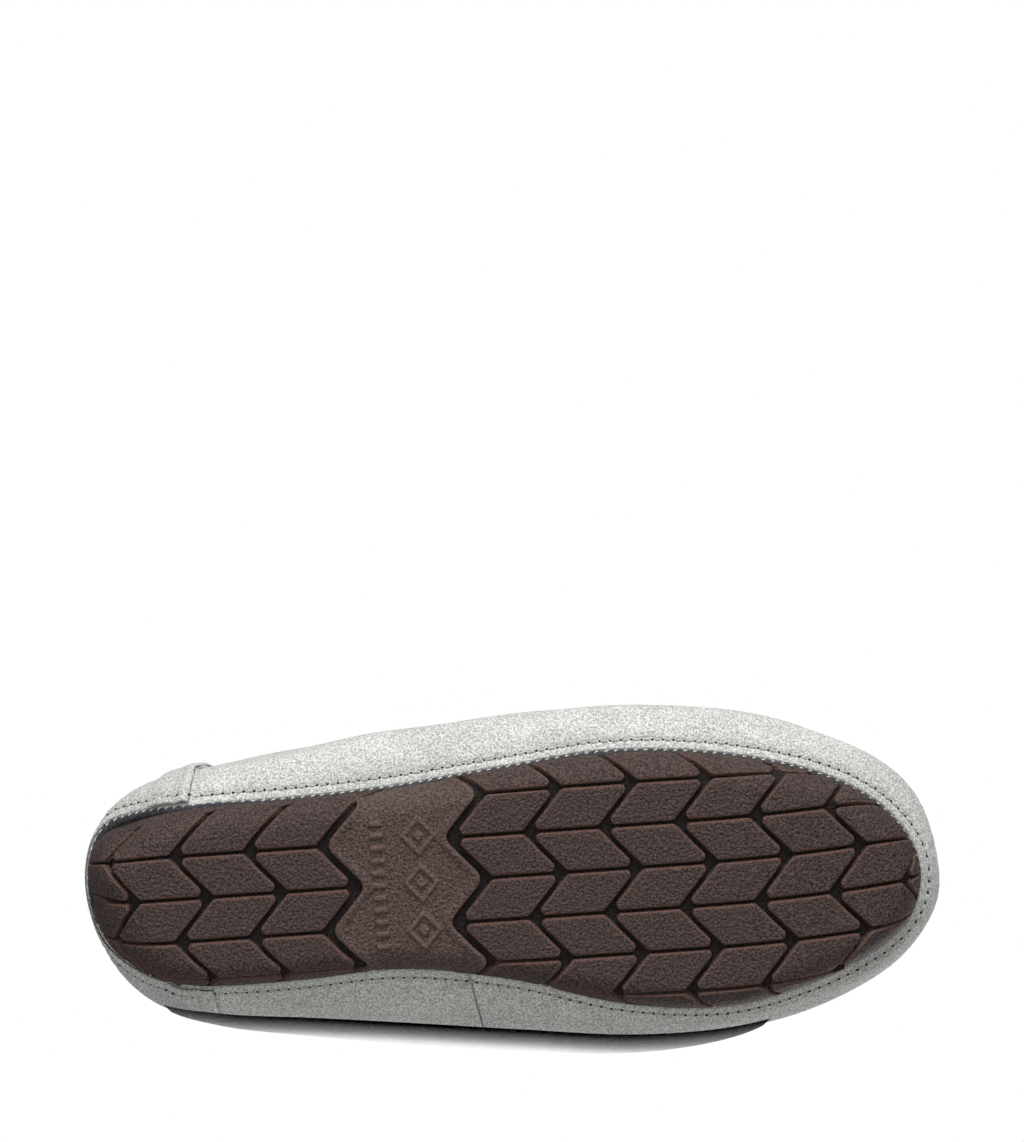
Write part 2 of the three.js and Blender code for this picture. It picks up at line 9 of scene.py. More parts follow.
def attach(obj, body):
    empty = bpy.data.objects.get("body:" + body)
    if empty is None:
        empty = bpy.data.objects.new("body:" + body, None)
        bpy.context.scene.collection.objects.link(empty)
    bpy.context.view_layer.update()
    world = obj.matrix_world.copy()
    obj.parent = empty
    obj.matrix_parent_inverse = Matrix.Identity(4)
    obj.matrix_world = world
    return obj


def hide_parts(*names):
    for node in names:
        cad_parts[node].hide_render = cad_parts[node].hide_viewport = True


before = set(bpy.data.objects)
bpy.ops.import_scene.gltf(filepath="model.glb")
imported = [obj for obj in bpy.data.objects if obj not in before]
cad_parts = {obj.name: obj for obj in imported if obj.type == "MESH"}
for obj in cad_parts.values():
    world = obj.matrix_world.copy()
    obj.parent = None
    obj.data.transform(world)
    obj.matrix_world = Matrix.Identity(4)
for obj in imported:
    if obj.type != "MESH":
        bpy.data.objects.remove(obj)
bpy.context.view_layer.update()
mm = 0.001
turn = 2 * math.pi
originShift = 1.7  # the foot's own x starts this far behind the frame's

# the foot's form, the same sizes as the CAD part

form = {
    "soleLength": 264.8, "soleWidth": 83.0, "toeOverhang": 5.3, "heelInset": 1.5, "sideOverhang": 12.0,
    "lugHeight": 3.0, "rimHeight": 9.5, "rimThickness": 2.4, "edgeRadius": 9.0, "heelRadius": 19.5,
    "heelWrapRise": 17.0, "toeSpring": 9.0, "springStart": 65.0, "rimGrooveShare": 0.5,
    "feltThickness": 1.6, "suedeStart": 1.5, "clearance": 0.3,
    "lowerOut": 0.62, "lowerUp": 0.3, "axisSlope": 0.048, "axisReach": 0.6,
    "crownPower": 0.9, "crownWidth": 30.0,
}
# y at every 15 degrees of sweep from the heel, outer side first, then back along the inner side
soleShape = [
    -0.084, -0.283, -0.361, -0.392, -0.398, -0.416, -0.458, -0.494, -0.464, -0.386, -0.265, -0.102,
    0.072, 0.235, 0.355, 0.452, 0.512, 0.47, 0.349, 0.283, 0.295, 0.295, 0.259, 0.139,
]
overhangShape = [
    0, -0.21, -0.5, -0.71, -1, -1.21, -1.12, -0.96, -0.92, -0.75, -0.67, -0.5,
    0.17, 0.25, 0.54, 0.62, 0.71, 1.04, 1.54, 1.62, 1.21, 0.96, 0.79, 0.46,
]
# [x, value] keys of the upper's cross-section: heights of its widest line, shoulder and top line, then how far
# the last two lie towards the middle line
wideHeight = [[-134, 37], [-100, 27], [-60, 24], [80, 24], [110, 26.5], [135, 30]]
shoulderHeight = [[-134, 50], [-60, 41], [0, 40], [35, 44], [90, 40], [135, 38.5]]
topHeight = [
    [-134, 62], [-105, 59], [-60, 53], [-15, 52], [15, 56], [35, 60], [60, 57], [90, 51], [115, 46.5], [135, 44.5],
]
shoulderShare = [[-134, 0.03], [-60, 0.05], [0, 0.08], [60, 0.13], [135, 0.16]]
topShare = [
    [-134, 0.1], [-105, 0.15], [-60, 0.19], [-15, 0.24], [35, 0.35], [60, 0.4], [90, 0.44], [115, 0.5], [135, 0.56],
]
apronCrown = [[25, 10], [70, 8], [105, 4]]
soleStart = -(form["soleLength"] + form["toeOverhang"]) / 2


def around(values, theta):
    # closed Catmull-Rom curve through evenly spaced values
    v = np.array(values, float)
    n = len(v)
    pos = (np.asarray(theta, float) / turn) % 1 * n
    i = np.floor(pos).astype(int)
    t = pos - i
    a, b, c, d = v[(i - 1) % n], v[i % n], v[(i + 1) % n], v[(i + 2) % n]
    return b + 0.5 * t * (c - a + t * (2 * a - 5 * b + 4 * c - d + t * (3 * (b - c) + d - a)))


def along(keys, x):
    # smooth curve through [x, value] keys, level beyond the ends: cubic pieces with matched slopes
    k = np.array(keys, float)
    kx, kv = k[:, 0], k[:, 1]
    x = np.clip(np.asarray(x, float), kx[0], kx[-1])
    i = np.clip(np.searchsorted(kx, x, side="right") - 1, 0, len(kx) - 2)
    up, down = np.minimum(np.arange(len(kx)) + 1, len(kx) - 1), np.maximum(np.arange(len(kx)) - 1, 0)
    slope = (kv[up] - kv[down]) / (kx[up] - kx[down])
    span = kx[i + 1] - kx[i]
    t = (x - kx[i]) / span
    s = 1 - t
    return (kv[i] * s * s * (1 + 2 * t) + kv[i + 1] * t * t * (1 + 2 * s)
            + span * (slope[i] * t * s * s - slope[i + 1] * t * t * s))


def smooth(x, low, high):
    t = np.clip((np.asarray(x, float) - low) / (high - low), 0, 1)
    return t * t * (3 - 2 * t)


def unit(v):
    return v / np.maximum(np.linalg.norm(v, axis=-1, keepdims=True), 1e-9)


def solePlan(theta):
    # the sole's outline: x runs by the cosine of the sweep, y by the shape's shares of the width
    theta = np.asarray(theta, float)
    x = soleStart + form["soleLength"] * (1 - np.cos(theta)) / 2
    return np.stack([x, form["soleWidth"] * around(soleShape, theta)], -1)


def widePlan(theta):
    theta = np.asarray(theta, float)
    length = form["soleLength"] + form["toeOverhang"] - form["heelInset"]
    x = soleStart + form["heelInset"] + length * (1 - np.cos(theta)) / 2
    y = form["soleWidth"] * around(soleShape, theta) + form["sideOverhang"] * around(overhangShape, theta)
    return np.stack([x, y], -1)


def sweepAt(x):
    half = (form["soleLength"] + form["toeOverhang"] - form["heelInset"]) / 2
    return np.arccos(np.clip(1 - (x - soleStart - form["heelInset"]) / half, -1, 1))


def soleNormal(theta):
    t = solePlan(np.asarray(theta) + 0.01) - solePlan(np.asarray(theta) - 0.01)
    return unit(np.stack([t[..., 1], -t[..., 0]], -1))


def springAt(x):
    s = form["springStart"]
    return np.where(x > s, form["toeSpring"] * ((x - s) / s) ** 2, 0.0)


def heelShare(x):
    return 1 - smooth(x, soleStart + 3, soleStart + 37)


def rimAt(theta):
    x = solePlan(theta)[..., 0]
    return form["rimHeight"] + form["heelWrapRise"] * heelShare(x) + springAt(x)


def levels(theta):
    # five points up the suede at each sweep angle: sole edge, flare, widest line, shoulder, top line
    theta = np.asarray(theta, float)
    low = solePlan(theta) + form["clearance"] * soleNormal(theta)
    low = np.concatenate([low, (rimAt(theta) + form["feltThickness"] + form["suedeStart"])[..., None]], -1)
    wide = widePlan(theta)
    x = wide[..., 0]
    middle = np.stack([form["axisReach"] * x, form["axisSlope"] * form["axisReach"] * x], -1)

    def inward(share, height):
        share = np.asarray(share)[..., None]
        return np.concatenate([wide * (1 - share) + middle * share, np.asarray(height)[..., None]], -1)

    w = inward(np.zeros_like(x), along(wideHeight, x))
    flare = low * (1 - form["lowerOut"]) + w * form["lowerOut"]
    flare[..., 2] = low[..., 2] + form["lowerUp"] * (w[..., 2] - low[..., 2])
    return np.stack([low, flare, w, inward(along(shoulderShare, x), along(shoulderHeight, x)),
                     inward(along(topShare, x), along(topHeight, x))])


def upperPoint(theta, v):
    # Catmull-Rom curve up through the five levels; theta is one value a row, v has the grid's shape
    k = levels(theta)
    e = np.concatenate([2 * k[:1] - k[1:2], k, 2 * k[4:] - k[3:4]])
    v = np.broadcast_to(v, (len(k[0]),) + np.shape(v)[-1:]) if np.ndim(v) == 1 else v
    i = np.clip(np.floor(v).astype(int), 0, 3)
    t = (v - i)[..., None]
    rows = np.arange(k.shape[1])[:, None]
    a, b, c, d = e[i, rows], e[i + 1, rows], e[i + 2, rows], e[i + 3, rows]
    return b + 0.5 * t * (c - a + t * (2 * a - 5 * b + 4 * c - d + t * (3 * (b - c) + d - a)))


def upperFrame(theta, v):
    # place, outward direction and upward direction on the upper
    h = 0.01
    v = np.broadcast_to(v, (len(theta), np.shape(v)[-1])) if np.ndim(v) == 1 else v
    rise = unit(upperPoint(theta, np.minimum(v + h, 4)) - upperPoint(theta, v - h))
    run = unit(upperPoint(theta + h, v) - upperPoint(theta - h, v))
    return upperPoint(theta, v), unit(np.cross(run, rise)), rise


def apronPoint(theta, w):
    # straight across between the two seam lines, raised by a crown that is zero at the seams
    a, b = upperPoint(theta, np.full((len(theta), 1), 4.0)), upperPoint(-theta, np.full((len(theta), 1), 4.0))
    t = ((w + 1) / 2)[..., None]
    p = a * (1 - t) + b * t
    width = np.linalg.norm(b - a, axis=-1)
    crown = along(apronCrown, p[..., 0]) * (1 - w * w).clip(0) ** form["crownPower"]
    p[..., 2] += crown * np.minimum(1, width / form["crownWidth"])
    return p


def apronFrame(theta, w):
    h = 0.01
    w = np.broadcast_to(w, (len(theta), np.shape(w)[-1])) if np.ndim(w) == 1 else w
    across = apronPoint(theta, np.minimum(w + h, 1)) - apronPoint(theta, np.maximum(w - h, -1))
    ahead = apronPoint(theta + h, w) - apronPoint(theta - h, w)
    out = unit(np.cross(ahead, across))
    out = np.where(out[..., 2:] < 0, -out, out)
    return apronPoint(theta, w), out


# meshes

def gridFaces(n, m, closeN=False, closeM=False, start=0):
    i, j = np.meshgrid(np.arange(n - (not closeN)), np.arange(m - (not closeM)), indexing="ij")
    a, b = i * m + j, (i + 1) % n * m + j
    c, d = (i + 1) % n * m + (j + 1) % m, i * m + (j + 1) % m
    return start + np.stack([a, b, c, d], -1).reshape(-1, 4)


def buildMesh(name, points, quads, tris=None, replaces=()):
    # points in millimetres; faces turned outwards by the sign of the enclosed volume
    points = np.asarray(points, float).reshape(-1, 3) + [originShift, 0, 0]
    tris = np.zeros((0, 3), int) if tris is None else np.asarray(tris)
    corners = np.concatenate([quads[:, [0, 1, 2]], quads[:, [0, 2, 3]], tris]) if len(quads) else tris
    p = points[corners]
    if (p[:, 0] * np.cross(p[:, 1], p[:, 2])).sum() < 0:
        quads, tris = quads[:, ::-1], tris[:, ::-1]
    mesh = bpy.data.meshes.new(name)
    mesh.vertices.add(len(points))
    mesh.vertices.foreach_set("co", (points * mm).astype(np.float32).ravel())
    loops = np.concatenate([quads.ravel(), tris.ravel()]).astype(np.int32)
    starts = np.concatenate([np.arange(len(quads)) * 4, 4 * len(quads) + np.arange(len(tris)) * 3])
    starts = starts.astype(np.int32)
    mesh.loops.add(len(loops))
    mesh.loops.foreach_set("vertex_index", loops)
    mesh.polygons.add(len(starts))
    mesh.polygons.foreach_set("loop_start", starts)
    mesh.polygons.foreach_set("use_smooth", np.ones(len(starts), bool))
    mesh.update(calc_edges=True)
    mesh.validate()
    piece = bpy.data.objects.new(name, mesh)
    bpy.context.scene.collection.objects.link(piece)
    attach(piece, "root")
    if replaces:
        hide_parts(*replaces)
    return piece


def setAttribute(piece, name, values):
    attribute = piece.data.attributes.new(name, "FLOAT", "POINT")
    attribute.data.foreach_set("value", np.asarray(values, np.float32).ravel())


def sweptTube(rings):
    # rings (n, m, 3) joined along n, closed round m, with a fan at each end
    n, m = rings.shape[:2]
    quads = gridFaces(n, m, False, True)
    ends = np.stack([rings[0].mean(0), rings[-1].mean(0)])
    j = np.arange(m)
    first = np.stack([np.full(m, n * m), (j + 1) % m, j], -1)
    last = np.stack([np.full(m, n * m + 1), (n - 1) * m + j, (n - 1) * m + (j + 1) % m], -1)
    return np.concatenate([rings.reshape(-1, 3), ends]), quads, np.concatenate([first, last])


# materials

def linear(hexColour):
    c = [int(hexColour[i:i + 2], 16) / 255 for i in (1, 3, 5)]
    return [x / 12.92 if x <= 0.04045 else ((x + 0.055) / 1.055) ** 2.4 for x in c] + [1.0]


def addNode(tree, kind, settings=None, links=None):
    # one node; settings name its sockets or its own properties, and "stops" the places and colours of a ramp;
    # links feed its sockets from other nodes' sockets
    node = tree.nodes.new(kind)
    for key, value in (settings or {}).items():
        if key == "stops":
            ramp = node.color_ramp.elements
            for element, (place, colour) in zip(ramp, value):
                element.position, element.color = place, colour
        elif isinstance(key, str) and hasattr(node, key) and key not in node.inputs:
            setattr(node, key, value)
        else:
            node.inputs[key].default_value = value
    for key, source in (links or {}).items():
        tree.links.new(source, node.inputs[key])
    return node


def newMaterial(name, settings):
    material = bpy.data.materials.new(name)
    material.use_nodes = True
    tree = material.node_tree
    shader = tree.nodes["Principled BSDF"]
    for key, value in settings.items():
        shader.inputs[key].default_value = value
    coords = addNode(tree, "ShaderNodeTexCoord").outputs["Object"]
    return material, tree, shader, coords


def perMetre(sizeInMm):
    return 1000.0 / sizeInMm


def makeSuede(name, light, dark):
    # cow suede, split and brushed: a matt nap with fine speckle, soft hand-stroked patches and a faint sheen;
    # a real nap is finer than 0.1 mm, so it is drawn at 0.65 mm to show
    material, tree, shader, coords = newMaterial(name, {
        "Roughness": 0.95, "Specular IOR Level": 0.15, "Sheen Weight": 0.25, "Sheen Roughness": 0.55})
    nap = addNode(tree, "ShaderNodeTexNoise", {"Scale": perMetre(0.651), "Detail": 2.0, "Roughness": 0.7},
                  {"Vector": coords}).outputs["Fac"]
    stroke = addNode(tree, "ShaderNodeTexNoise", {"Scale": perMetre(14), "Detail": 3.0, "Roughness": 0.6},
                     {"Vector": coords}).outputs["Fac"]
    grain = addNode(tree, "ShaderNodeTexNoise", {"Scale": perMetre(3.2)}, {"Vector": coords}).outputs["Fac"]
    speckle = addNode(tree, "ShaderNodeValToRGB", {"stops": [(0.4, linear(dark)), (0.58, linear(light))]},
                   {"Fac": nap})
    patches = addNode(tree, "ShaderNodeValToRGB", {
        "stops": [(0.3, (0.9, 0.9, 0.9, 1)), (0.7, (1.03, 1.03, 1.03, 1))]}, {"Fac": stroke})
    colour = addNode(tree, "ShaderNodeMix", {"data_type": "RGBA", "blend_type": "MULTIPLY", 0: 1.0},
                     {6: speckle.outputs["Color"], 7: patches.outputs["Color"]})
    tree.links.new(colour.outputs[2], shader.inputs["Base Color"])
    fine = addNode(tree, "ShaderNodeBump", {"Distance": 0.5 * mm, "Strength": 0.9}, {"Height": nap})
    soft = addNode(tree, "ShaderNodeBump", {"Distance": 0.35 * mm, "Strength": 0.25},
                   {"Height": grain, "Normal": fine.outputs["Normal"]})
    tree.links.new(soft.outputs["Normal"], shader.inputs["Normal"])
    return material


def makeRubber(name, face, deep, edge):
    # injection-moulded rubber from a spark-eroded mould: matt, pebble grained; the edge colour, laid on by a mesh
    # attribute along lug edges and on the plate's relief, is a painted highlight
    material, tree, shader, coords = newMaterial(name, {"Roughness": 0.78, "Specular IOR Level": 0.25})
    pebble = addNode(tree, "ShaderNodeTexVoronoi", {
        "feature": "SMOOTH_F1", "Scale": perMetre(0.85), "Smoothness": 0.6}, {"Vector": coords}).outputs["Distance"]
    mottle = addNode(tree, "ShaderNodeTexNoise", {"Scale": perMetre(0.8), "Detail": 2.0, "Roughness": 0.7},
                     {"Vector": coords}).outputs["Fac"]
    pores = addNode(tree, "ShaderNodeTexNoise", {"Scale": perMetre(0.5)}, {"Vector": coords}).outputs["Fac"]
    tone = addNode(tree, "ShaderNodeValToRGB", {"stops": [(0.4, linear(deep)), (0.6, linear(face))]},
                   {"Fac": mottle})
    # this attribute marks where the lighter edge colour goes: painted highlight
    paintedHighlight = addNode(tree, "ShaderNodeAttribute", {"attribute_name": "paintedHighlight"}).outputs["Fac"]
    colour = addNode(tree, "ShaderNodeMix", {"data_type": "RGBA", 7: linear(edge)},
                     {0: paintedHighlight, 6: tone.outputs["Color"]})
    tree.links.new(colour.outputs[2], shader.inputs["Base Color"])
    fine = addNode(tree, "ShaderNodeBump", {"Distance": 0.12 * mm, "Strength": 0.5}, {"Height": pores})
    grain = addNode(tree, "ShaderNodeBump", {"Distance": 0.5 * mm, "Strength": 1.0},
                    {"Height": pebble, "Normal": fine.outputs["Normal"]})
    tree.links.new(grain.outputs["Normal"], shader.inputs["Normal"])
    return material


def makeFibre(name, light, dark, sizeInMm, sheen, bumpMm):
    # spun or pressed fibre: matt, mottled at the size of a fibre bundle
    material, tree, shader, coords = newMaterial(name, {
        "Roughness": 0.9, "Specular IOR Level": 0.2, "Sheen Weight": sheen, "Sheen Roughness": 0.4})
    mottle = addNode(tree, "ShaderNodeTexNoise", {"Scale": perMetre(sizeInMm), "Detail": 3.0, "Roughness": 0.7},
                     {"Vector": coords}).outputs["Fac"]
    tone = addNode(tree, "ShaderNodeValToRGB", {"stops": [(0.3, linear(dark)), (0.7, linear(light))]},
                   {"Fac": mottle})
    tree.links.new(tone.outputs["Color"], shader.inputs["Base Color"])
    bump = addNode(tree, "ShaderNodeBump", {"Distance": bumpMm * mm, "Strength": 0.6}, {"Height": mottle})
    tree.links.new(bump.outputs["Normal"], shader.inputs["Normal"])
    return material


suede = makeSuede("brushedSuede", "#e6e7e3", "#a5a6a1")
heelSuede = makeSuede("brushedSuedeHeel", "#e3e4e0", "#a3a49f")
# the third colour of each rubber is a painted highlight for edges and relief
treadRubber = makeRubber("mouldedRubberTread", "#594a45", "#33292a", "#6e5046")
# the groove rubber is the same rubber drawn darker: painted shade for the deep, narrow grooves
shadedGrooveRubber = makeRubber("mouldedRubberGrooveShade", "#2b2320", "#1a1514", "#2f2622")
darkFelt = makeFibre("needledFelt", "#55565a", "#141517", 0.7, 0.2, 0.25)
wool = makeFibre("curlyFleece", "#e6e4dd", "#cfccc3", 1.6, 0.5, 0.3)
greyThread = makeFibre("waxedThread", "#c3c6c1", "#9fa29d", 0.3, 0.2, 0.05)
whiteThread = makeFibre("bondedThread", "#e9ebea", "#c9cccb", 0.3, 0.2, 0.05)
# the needle-hole colours are painted shade for the holes between stitches
holeShade = makeFibre("needleHoleShade", "#3a3c3a", "#242624", 0.4, 0.0, 0.05)
foam = makeFibre("closedCellFoam", "#dcd7ca", "#cfc9ba", 0.8, 0.0, 0.1)
fibreBoard = makeFibre("pressedFibreBoard", "#a5987f", "#8a7e68", 1.0, 0.0, 0.1)


def wear(piece, material):
    piece.data.materials.clear()
    piece.data.materials.append(material)
    return piece

# camera, light and floor

cameraSpec = {
    "lens": 120.0, "sensor": 36.0, "longSide": 1142, "scale": 3.19,  # the sole plane is seen at scale dots a mm
    "look": (1.8, -7.1, 0.0),  # this point of the tread...
    "below": 299,                # ...sits so many dots under the middle of the frame
    "tilt": 8.6, "roll": 4.0,    # camera leans to the outer side; the toe points up by the roll
}


def placeCamera(spec):
    # view axes: forward f, up u, right r; then the camera turns up so that the slipper sits low in the frame
    tilt, roll = math.radians(spec["tilt"]), math.radians(spec["roll"])
    f = np.array([0, math.sin(tilt), math.cos(tilt)])
    up0 = np.array([0, -math.cos(tilt), math.sin(tilt)])
    r = np.array([math.cos(roll), 0, 0]) - math.sin(roll) * up0
    u = np.array([math.sin(roll), 0, 0]) + math.cos(roll) * up0
    focal = spec["lens"] / spec["sensor"] * spec["longSide"]
    depth = focal / spec["scale"]
    lift = math.atan2(spec["below"] / spec["scale"], depth)
    place = np.array(spec["look"]) - f * depth / math.cos(lift)
    forward = math.cos(lift) * f + math.sin(lift) * u
    above = math.cos(lift) * u - math.sin(lift) * f
    data = bpy.data.cameras.new("camera")
    data.lens, data.sensor_width = spec["lens"], spec["sensor"]
    data.clip_start, data.clip_end = 0.05, 20
    camera = bpy.data.objects.new("camera", data)
    bpy.context.scene.collection.objects.link(camera)
    rows = [[r[i], above[i], -forward[i], place[i] * mm] for i in range(3)]
    camera.matrix_world = Matrix([*rows, [0, 0, 0, 1]])
    bpy.context.scene.camera = camera
    return camera


lightSpec = {  # name: (place in mm, aims at, size in mm, watts)
    "softBoxTop": ((150, -900, -420), (0, 0, 20), 700, 10.2),  # from the outer side, lights sole and suede
    "softBoxFront": ((-250, -150, -1150), (0, 0, 10), 800, 3.6),
    "softBoxAbove": ((-100, 100, 1200), (0, 0, 30), 900, 12.0),  # for the upright slipper
    "softBoxBack": ((500, 800, 700), (0, 0, 30), 700, 9.0),
}


def placeLights(spec):
    for name, (place, target, size, watts) in spec.items():
        data = bpy.data.lights.new(name, "AREA")
        data.shape, data.size, data.energy = "DISK", size * mm, watts
        light = bpy.data.objects.new(name, data)
        light.location = Vector(place) * mm
        light.rotation_euler = (Vector(place) - Vector(target)).to_track_quat("Z", "Y").to_euler()
        light.visible_camera = False
        bpy.context.scene.collection.objects.link(light)


def makeWorld(seen, lighting):
    world = bpy.data.worlds.new("studio")
    world.use_nodes = True
    tree = world.node_tree
    tree.nodes.clear()
    path = addNode(tree, "ShaderNodeLightPath")
    white = addNode(tree, "ShaderNodeBackground", {"Color": (1, 1, 1, 1), "Strength": seen})
    grey = addNode(tree, "ShaderNodeBackground", {"Color": (1, 1, 1, 1), "Strength": lighting})
    mix = addNode(tree, "ShaderNodeMixShader", None,
                  {0: path.outputs["Is Camera Ray"], 1: grey.outputs[0], 2: white.outputs[0]})
    addNode(tree, "ShaderNodeOutputWorld", None, {"Surface": mix.outputs[0]})
    bpy.context.scene.world = world


def oneSided(tree, shader):
    # a surface that is only there on its front
    back = addNode(tree, "ShaderNodeNewGeometry").outputs["Backfacing"]
    clear = addNode(tree, "ShaderNodeBsdfTransparent")
    mix = addNode(tree, "ShaderNodeMixShader", None, {0: back, 1: shader, 2: clear.outputs[0]})
    tree.links.new(mix.outputs[0], tree.nodes["Material Output"].inputs["Surface"])


def makeFloor():
    side = 6.0
    mesh = bpy.data.meshes.new("floor")
    low = -0.4 * mm  # just clear of the tread, so that neither hides the other
    corners = [(-side, -side, low), (side, -side, low), (side, side, low), (-side, side, low)]
    mesh.from_pydata(corners, [], [(0, 1, 2, 3)])
    floor = bpy.data.objects.new("floor", mesh)
    bpy.context.scene.collection.objects.link(floor)
    material, tree, shader, coords = newMaterial("paleFloor", {
        "Base Color": (0.32, 0.32, 0.32, 1), "Roughness": 1.0, "Specular IOR Level": 0.0,
        "Emission Color": (1, 1, 1, 1), "Emission Strength": 0.84})
    oneSided(tree, shader.outputs[0])
    wear(floor, material)
    floor.visible_diffuse = floor.visible_glossy = floor.visible_shadow = floor.visible_transmission = False


def makeContactShadowCard(spec):
    # stands for the white surface that the inner side lies on: a glowing strip, white except where ambient
    # occlusion finds the slipper close, a painted contact shadow
    x = np.linspace(spec["from"], spec["to"], 61)
    t = np.linspace(0, 1, 9)
    ends = np.sin(np.pi * (x - x[0]) / (x[-1] - x[0])) ** 0.5
    z = spec["back"] + np.outer(ends, t) * (spec["front"] - spec["back"])
    # seen from the camera its back edge runs along the slipper's widest line, which is higher by drop
    drop = math.tan(math.radians(cameraSpec["tilt"])) * (along(wideHeight, x) - spec["back"])
    side = widePlan(turn - sweepAt(x))[:, 1] - drop - spec["tuck"]
    points = np.stack([np.broadcast_to(x[:, None], z.shape), np.broadcast_to(side[:, None], z.shape), z], -1)
    points = (points + [originShift, 0, 0]) * mm
    quads = gridFaces(len(x), len(t))[:, ::-1]
    mesh = bpy.data.meshes.new("contactShadowCard")
    mesh.from_pydata(points.reshape(-1, 3).tolist(), [], quads.tolist())
    card = bpy.data.objects.new("contactShadowCard", mesh)
    bpy.context.scene.collection.objects.link(card)
    material, tree, shader, coords = newMaterial("contactShade", {})
    # ambient occlusion turns the strip's glow from white to black: painted contact shadow
    shade = addNode(tree, "ShaderNodeAmbientOcclusion", {"Distance": spec["reach"] * mm, "samples": 8})
    fade = addNode(tree, "ShaderNodeValToRGB", {"stops": [(0.72, (0, 0, 0, 1)), (0.88, (1, 1, 1, 1))]},
                   {"Fac": shade.outputs["AO"]})
    glow = addNode(tree, "ShaderNodeEmission", {"Strength": 1.0}, {"Color": fade.outputs["Color"]})
    oneSided(tree, glow.outputs[0])
    wear(card, material)
    card.visible_diffuse = card.visible_glossy = card.visible_shadow = card.visible_transmission = False
    return card


contactShadowCard = {"from": -112, "to": 78, "tuck": 0.3, "back": -0.6, "front": -36, "reach": 55}
bpy.context.scene.view_settings.view_transform = "Standard"
placeCamera(cameraSpec)
placeLights(lightSpec)
makeWorld(1.0, 0.28)
makeFloor()
makeContactShadowCard(contactShadowCard)
print("stage made")

# outsole

tread = {
    "rowPitch": 13.55, "firstRowEdge": -32.1, "heelRows": 4, "rowCount": 6, "rowGroove": 1.15, "slant": 12.1,
    "slantGroove": 2.15, "forefootPitch": 23.7, "heelPitch": 23.2, "plateFront": -18.8, "plateBack": -60.0,
    "plateGap": 4.2, "forefootLines": 7, "heelLines": 4, "rimDrop": 0.5, "drift": 1.6, "driftStart": 55.0,
    "cornerRadius": 1.5, "smallestLug": 10.0, "plateRecess": 0.75,
}
flatSweep = np.linspace(0, turn, 2400, endpoint=False)
flatShare = heelShare(solePlan(flatSweep)[:, 0])
flatAcross = form["edgeRadius"] + (form["heelRadius"] - form["edgeRadius"]) * flatShare
flatNormal = soleNormal(flatSweep)
flatEdge = solePlan(flatSweep) - flatNormal * flatAcross[:, None]
# where the outline turns tighter than the edge's radius the inner line would cross itself: those samples go
apart = np.sqrt(((flatEdge[:, None] - solePlan(flatSweep[::4])[None]) ** 2).sum(-1).min(1))
flatKept = apart > flatAcross * 0.965
flatEdge, flatNormal = flatEdge[flatKept], flatNormal[flatKept]
flatShare, flatAcross = flatShare[flatKept], flatAcross[flatKept]


def nearestFlat(points):
    # index of the flat's edge sample nearest to each point, a few thousand points at a time
    parts = np.array_split(points, max(1, len(points) // 2000))
    return np.concatenate([((part[:, None] - flatEdge[None]) ** 2).sum(-1).argmin(1) for part in parts])


def insideFlat(points):
    # even-odd rule: count the sides of the flat's outline that a line run out along x crosses
    a, b = flatEdge[::4], np.roll(flatEdge[::4], -1, 0)
    x, y = points[:, :1], points[:, 1:]
    spans = (a[None, :, 1] > y) != (b[None, :, 1] > y)
    slope = (b[:, 0] - a[:, 0]) / np.where(np.abs(b[:, 1] - a[:, 1]) < 1e-9, 1e-9, b[:, 1] - a[:, 1])
    return (spans & (x < a[None, :, 0] + (y - a[None, :, 1]) * slope[None])).sum(1) % 2 == 1


def wrapOnSole(points, depth, drop=0.0):
    # points in the unrolled tread: inside the flat they keep their place; beyond it the distance to the flat's
    # edge becomes arc length up the quarter-ellipse edge of the sole, and it ends short of the rim by drop
    nearest = nearestFlat(points)
    share, across = flatShare[nearest], flatAcross[nearest]
    away = points - flatEdge[nearest]
    beyond = np.linalg.norm(away, axis=-1) * ~insideFlat(points)
    n = np.where((beyond > 0.4)[:, None], unit(away), flatNormal[nearest])
    high = form["rimHeight"] + form["heelWrapRise"] * share
    angle = np.linspace(0, math.pi / 2, 46)
    speed = np.sqrt((across[:, None] * np.cos(angle)) ** 2 + (high[:, None] * np.sin(angle)) ** 2)
    run = np.cumsum((speed[:, 1:] + speed[:, :-1]) / 2, 1) * (angle[1] - angle[0])
    length = np.concatenate([np.zeros((len(points), 1)), run], 1)
    arc = np.clip(beyond, 0, length[:, -1] - drop)
    k = np.clip((length <= arc[:, None]).sum(1) - 1, 0, len(angle) - 2)
    rows = np.arange(len(points))
    part = (arc - length[rows, k]) / np.maximum(length[rows, k + 1] - length[rows, k], 1e-9)
    phi = angle[k] + part * (angle[1] - angle[0])
    inset = depth * (1 - form["rimGrooveShare"] * np.sin(phi) ** 2)
    plan = flatEdge[nearest] + n * ((across - inset) * np.sin(phi))[:, None]
    plan = np.where((beyond > 0)[:, None], plan, points)
    z = np.where(beyond > 0, high - (high - inset) * np.cos(phi), depth)
    return np.column_stack([plan, z + springAt(plan[:, 0])])


def driftRows(points):
    # the rows swing to the outer side near the toe
    x = points[:, 0]
    d = tread["drift"] * (np.maximum(x - tread["driftStart"], 0) / 57) ** 2
    return points - np.column_stack([0 * x, d])


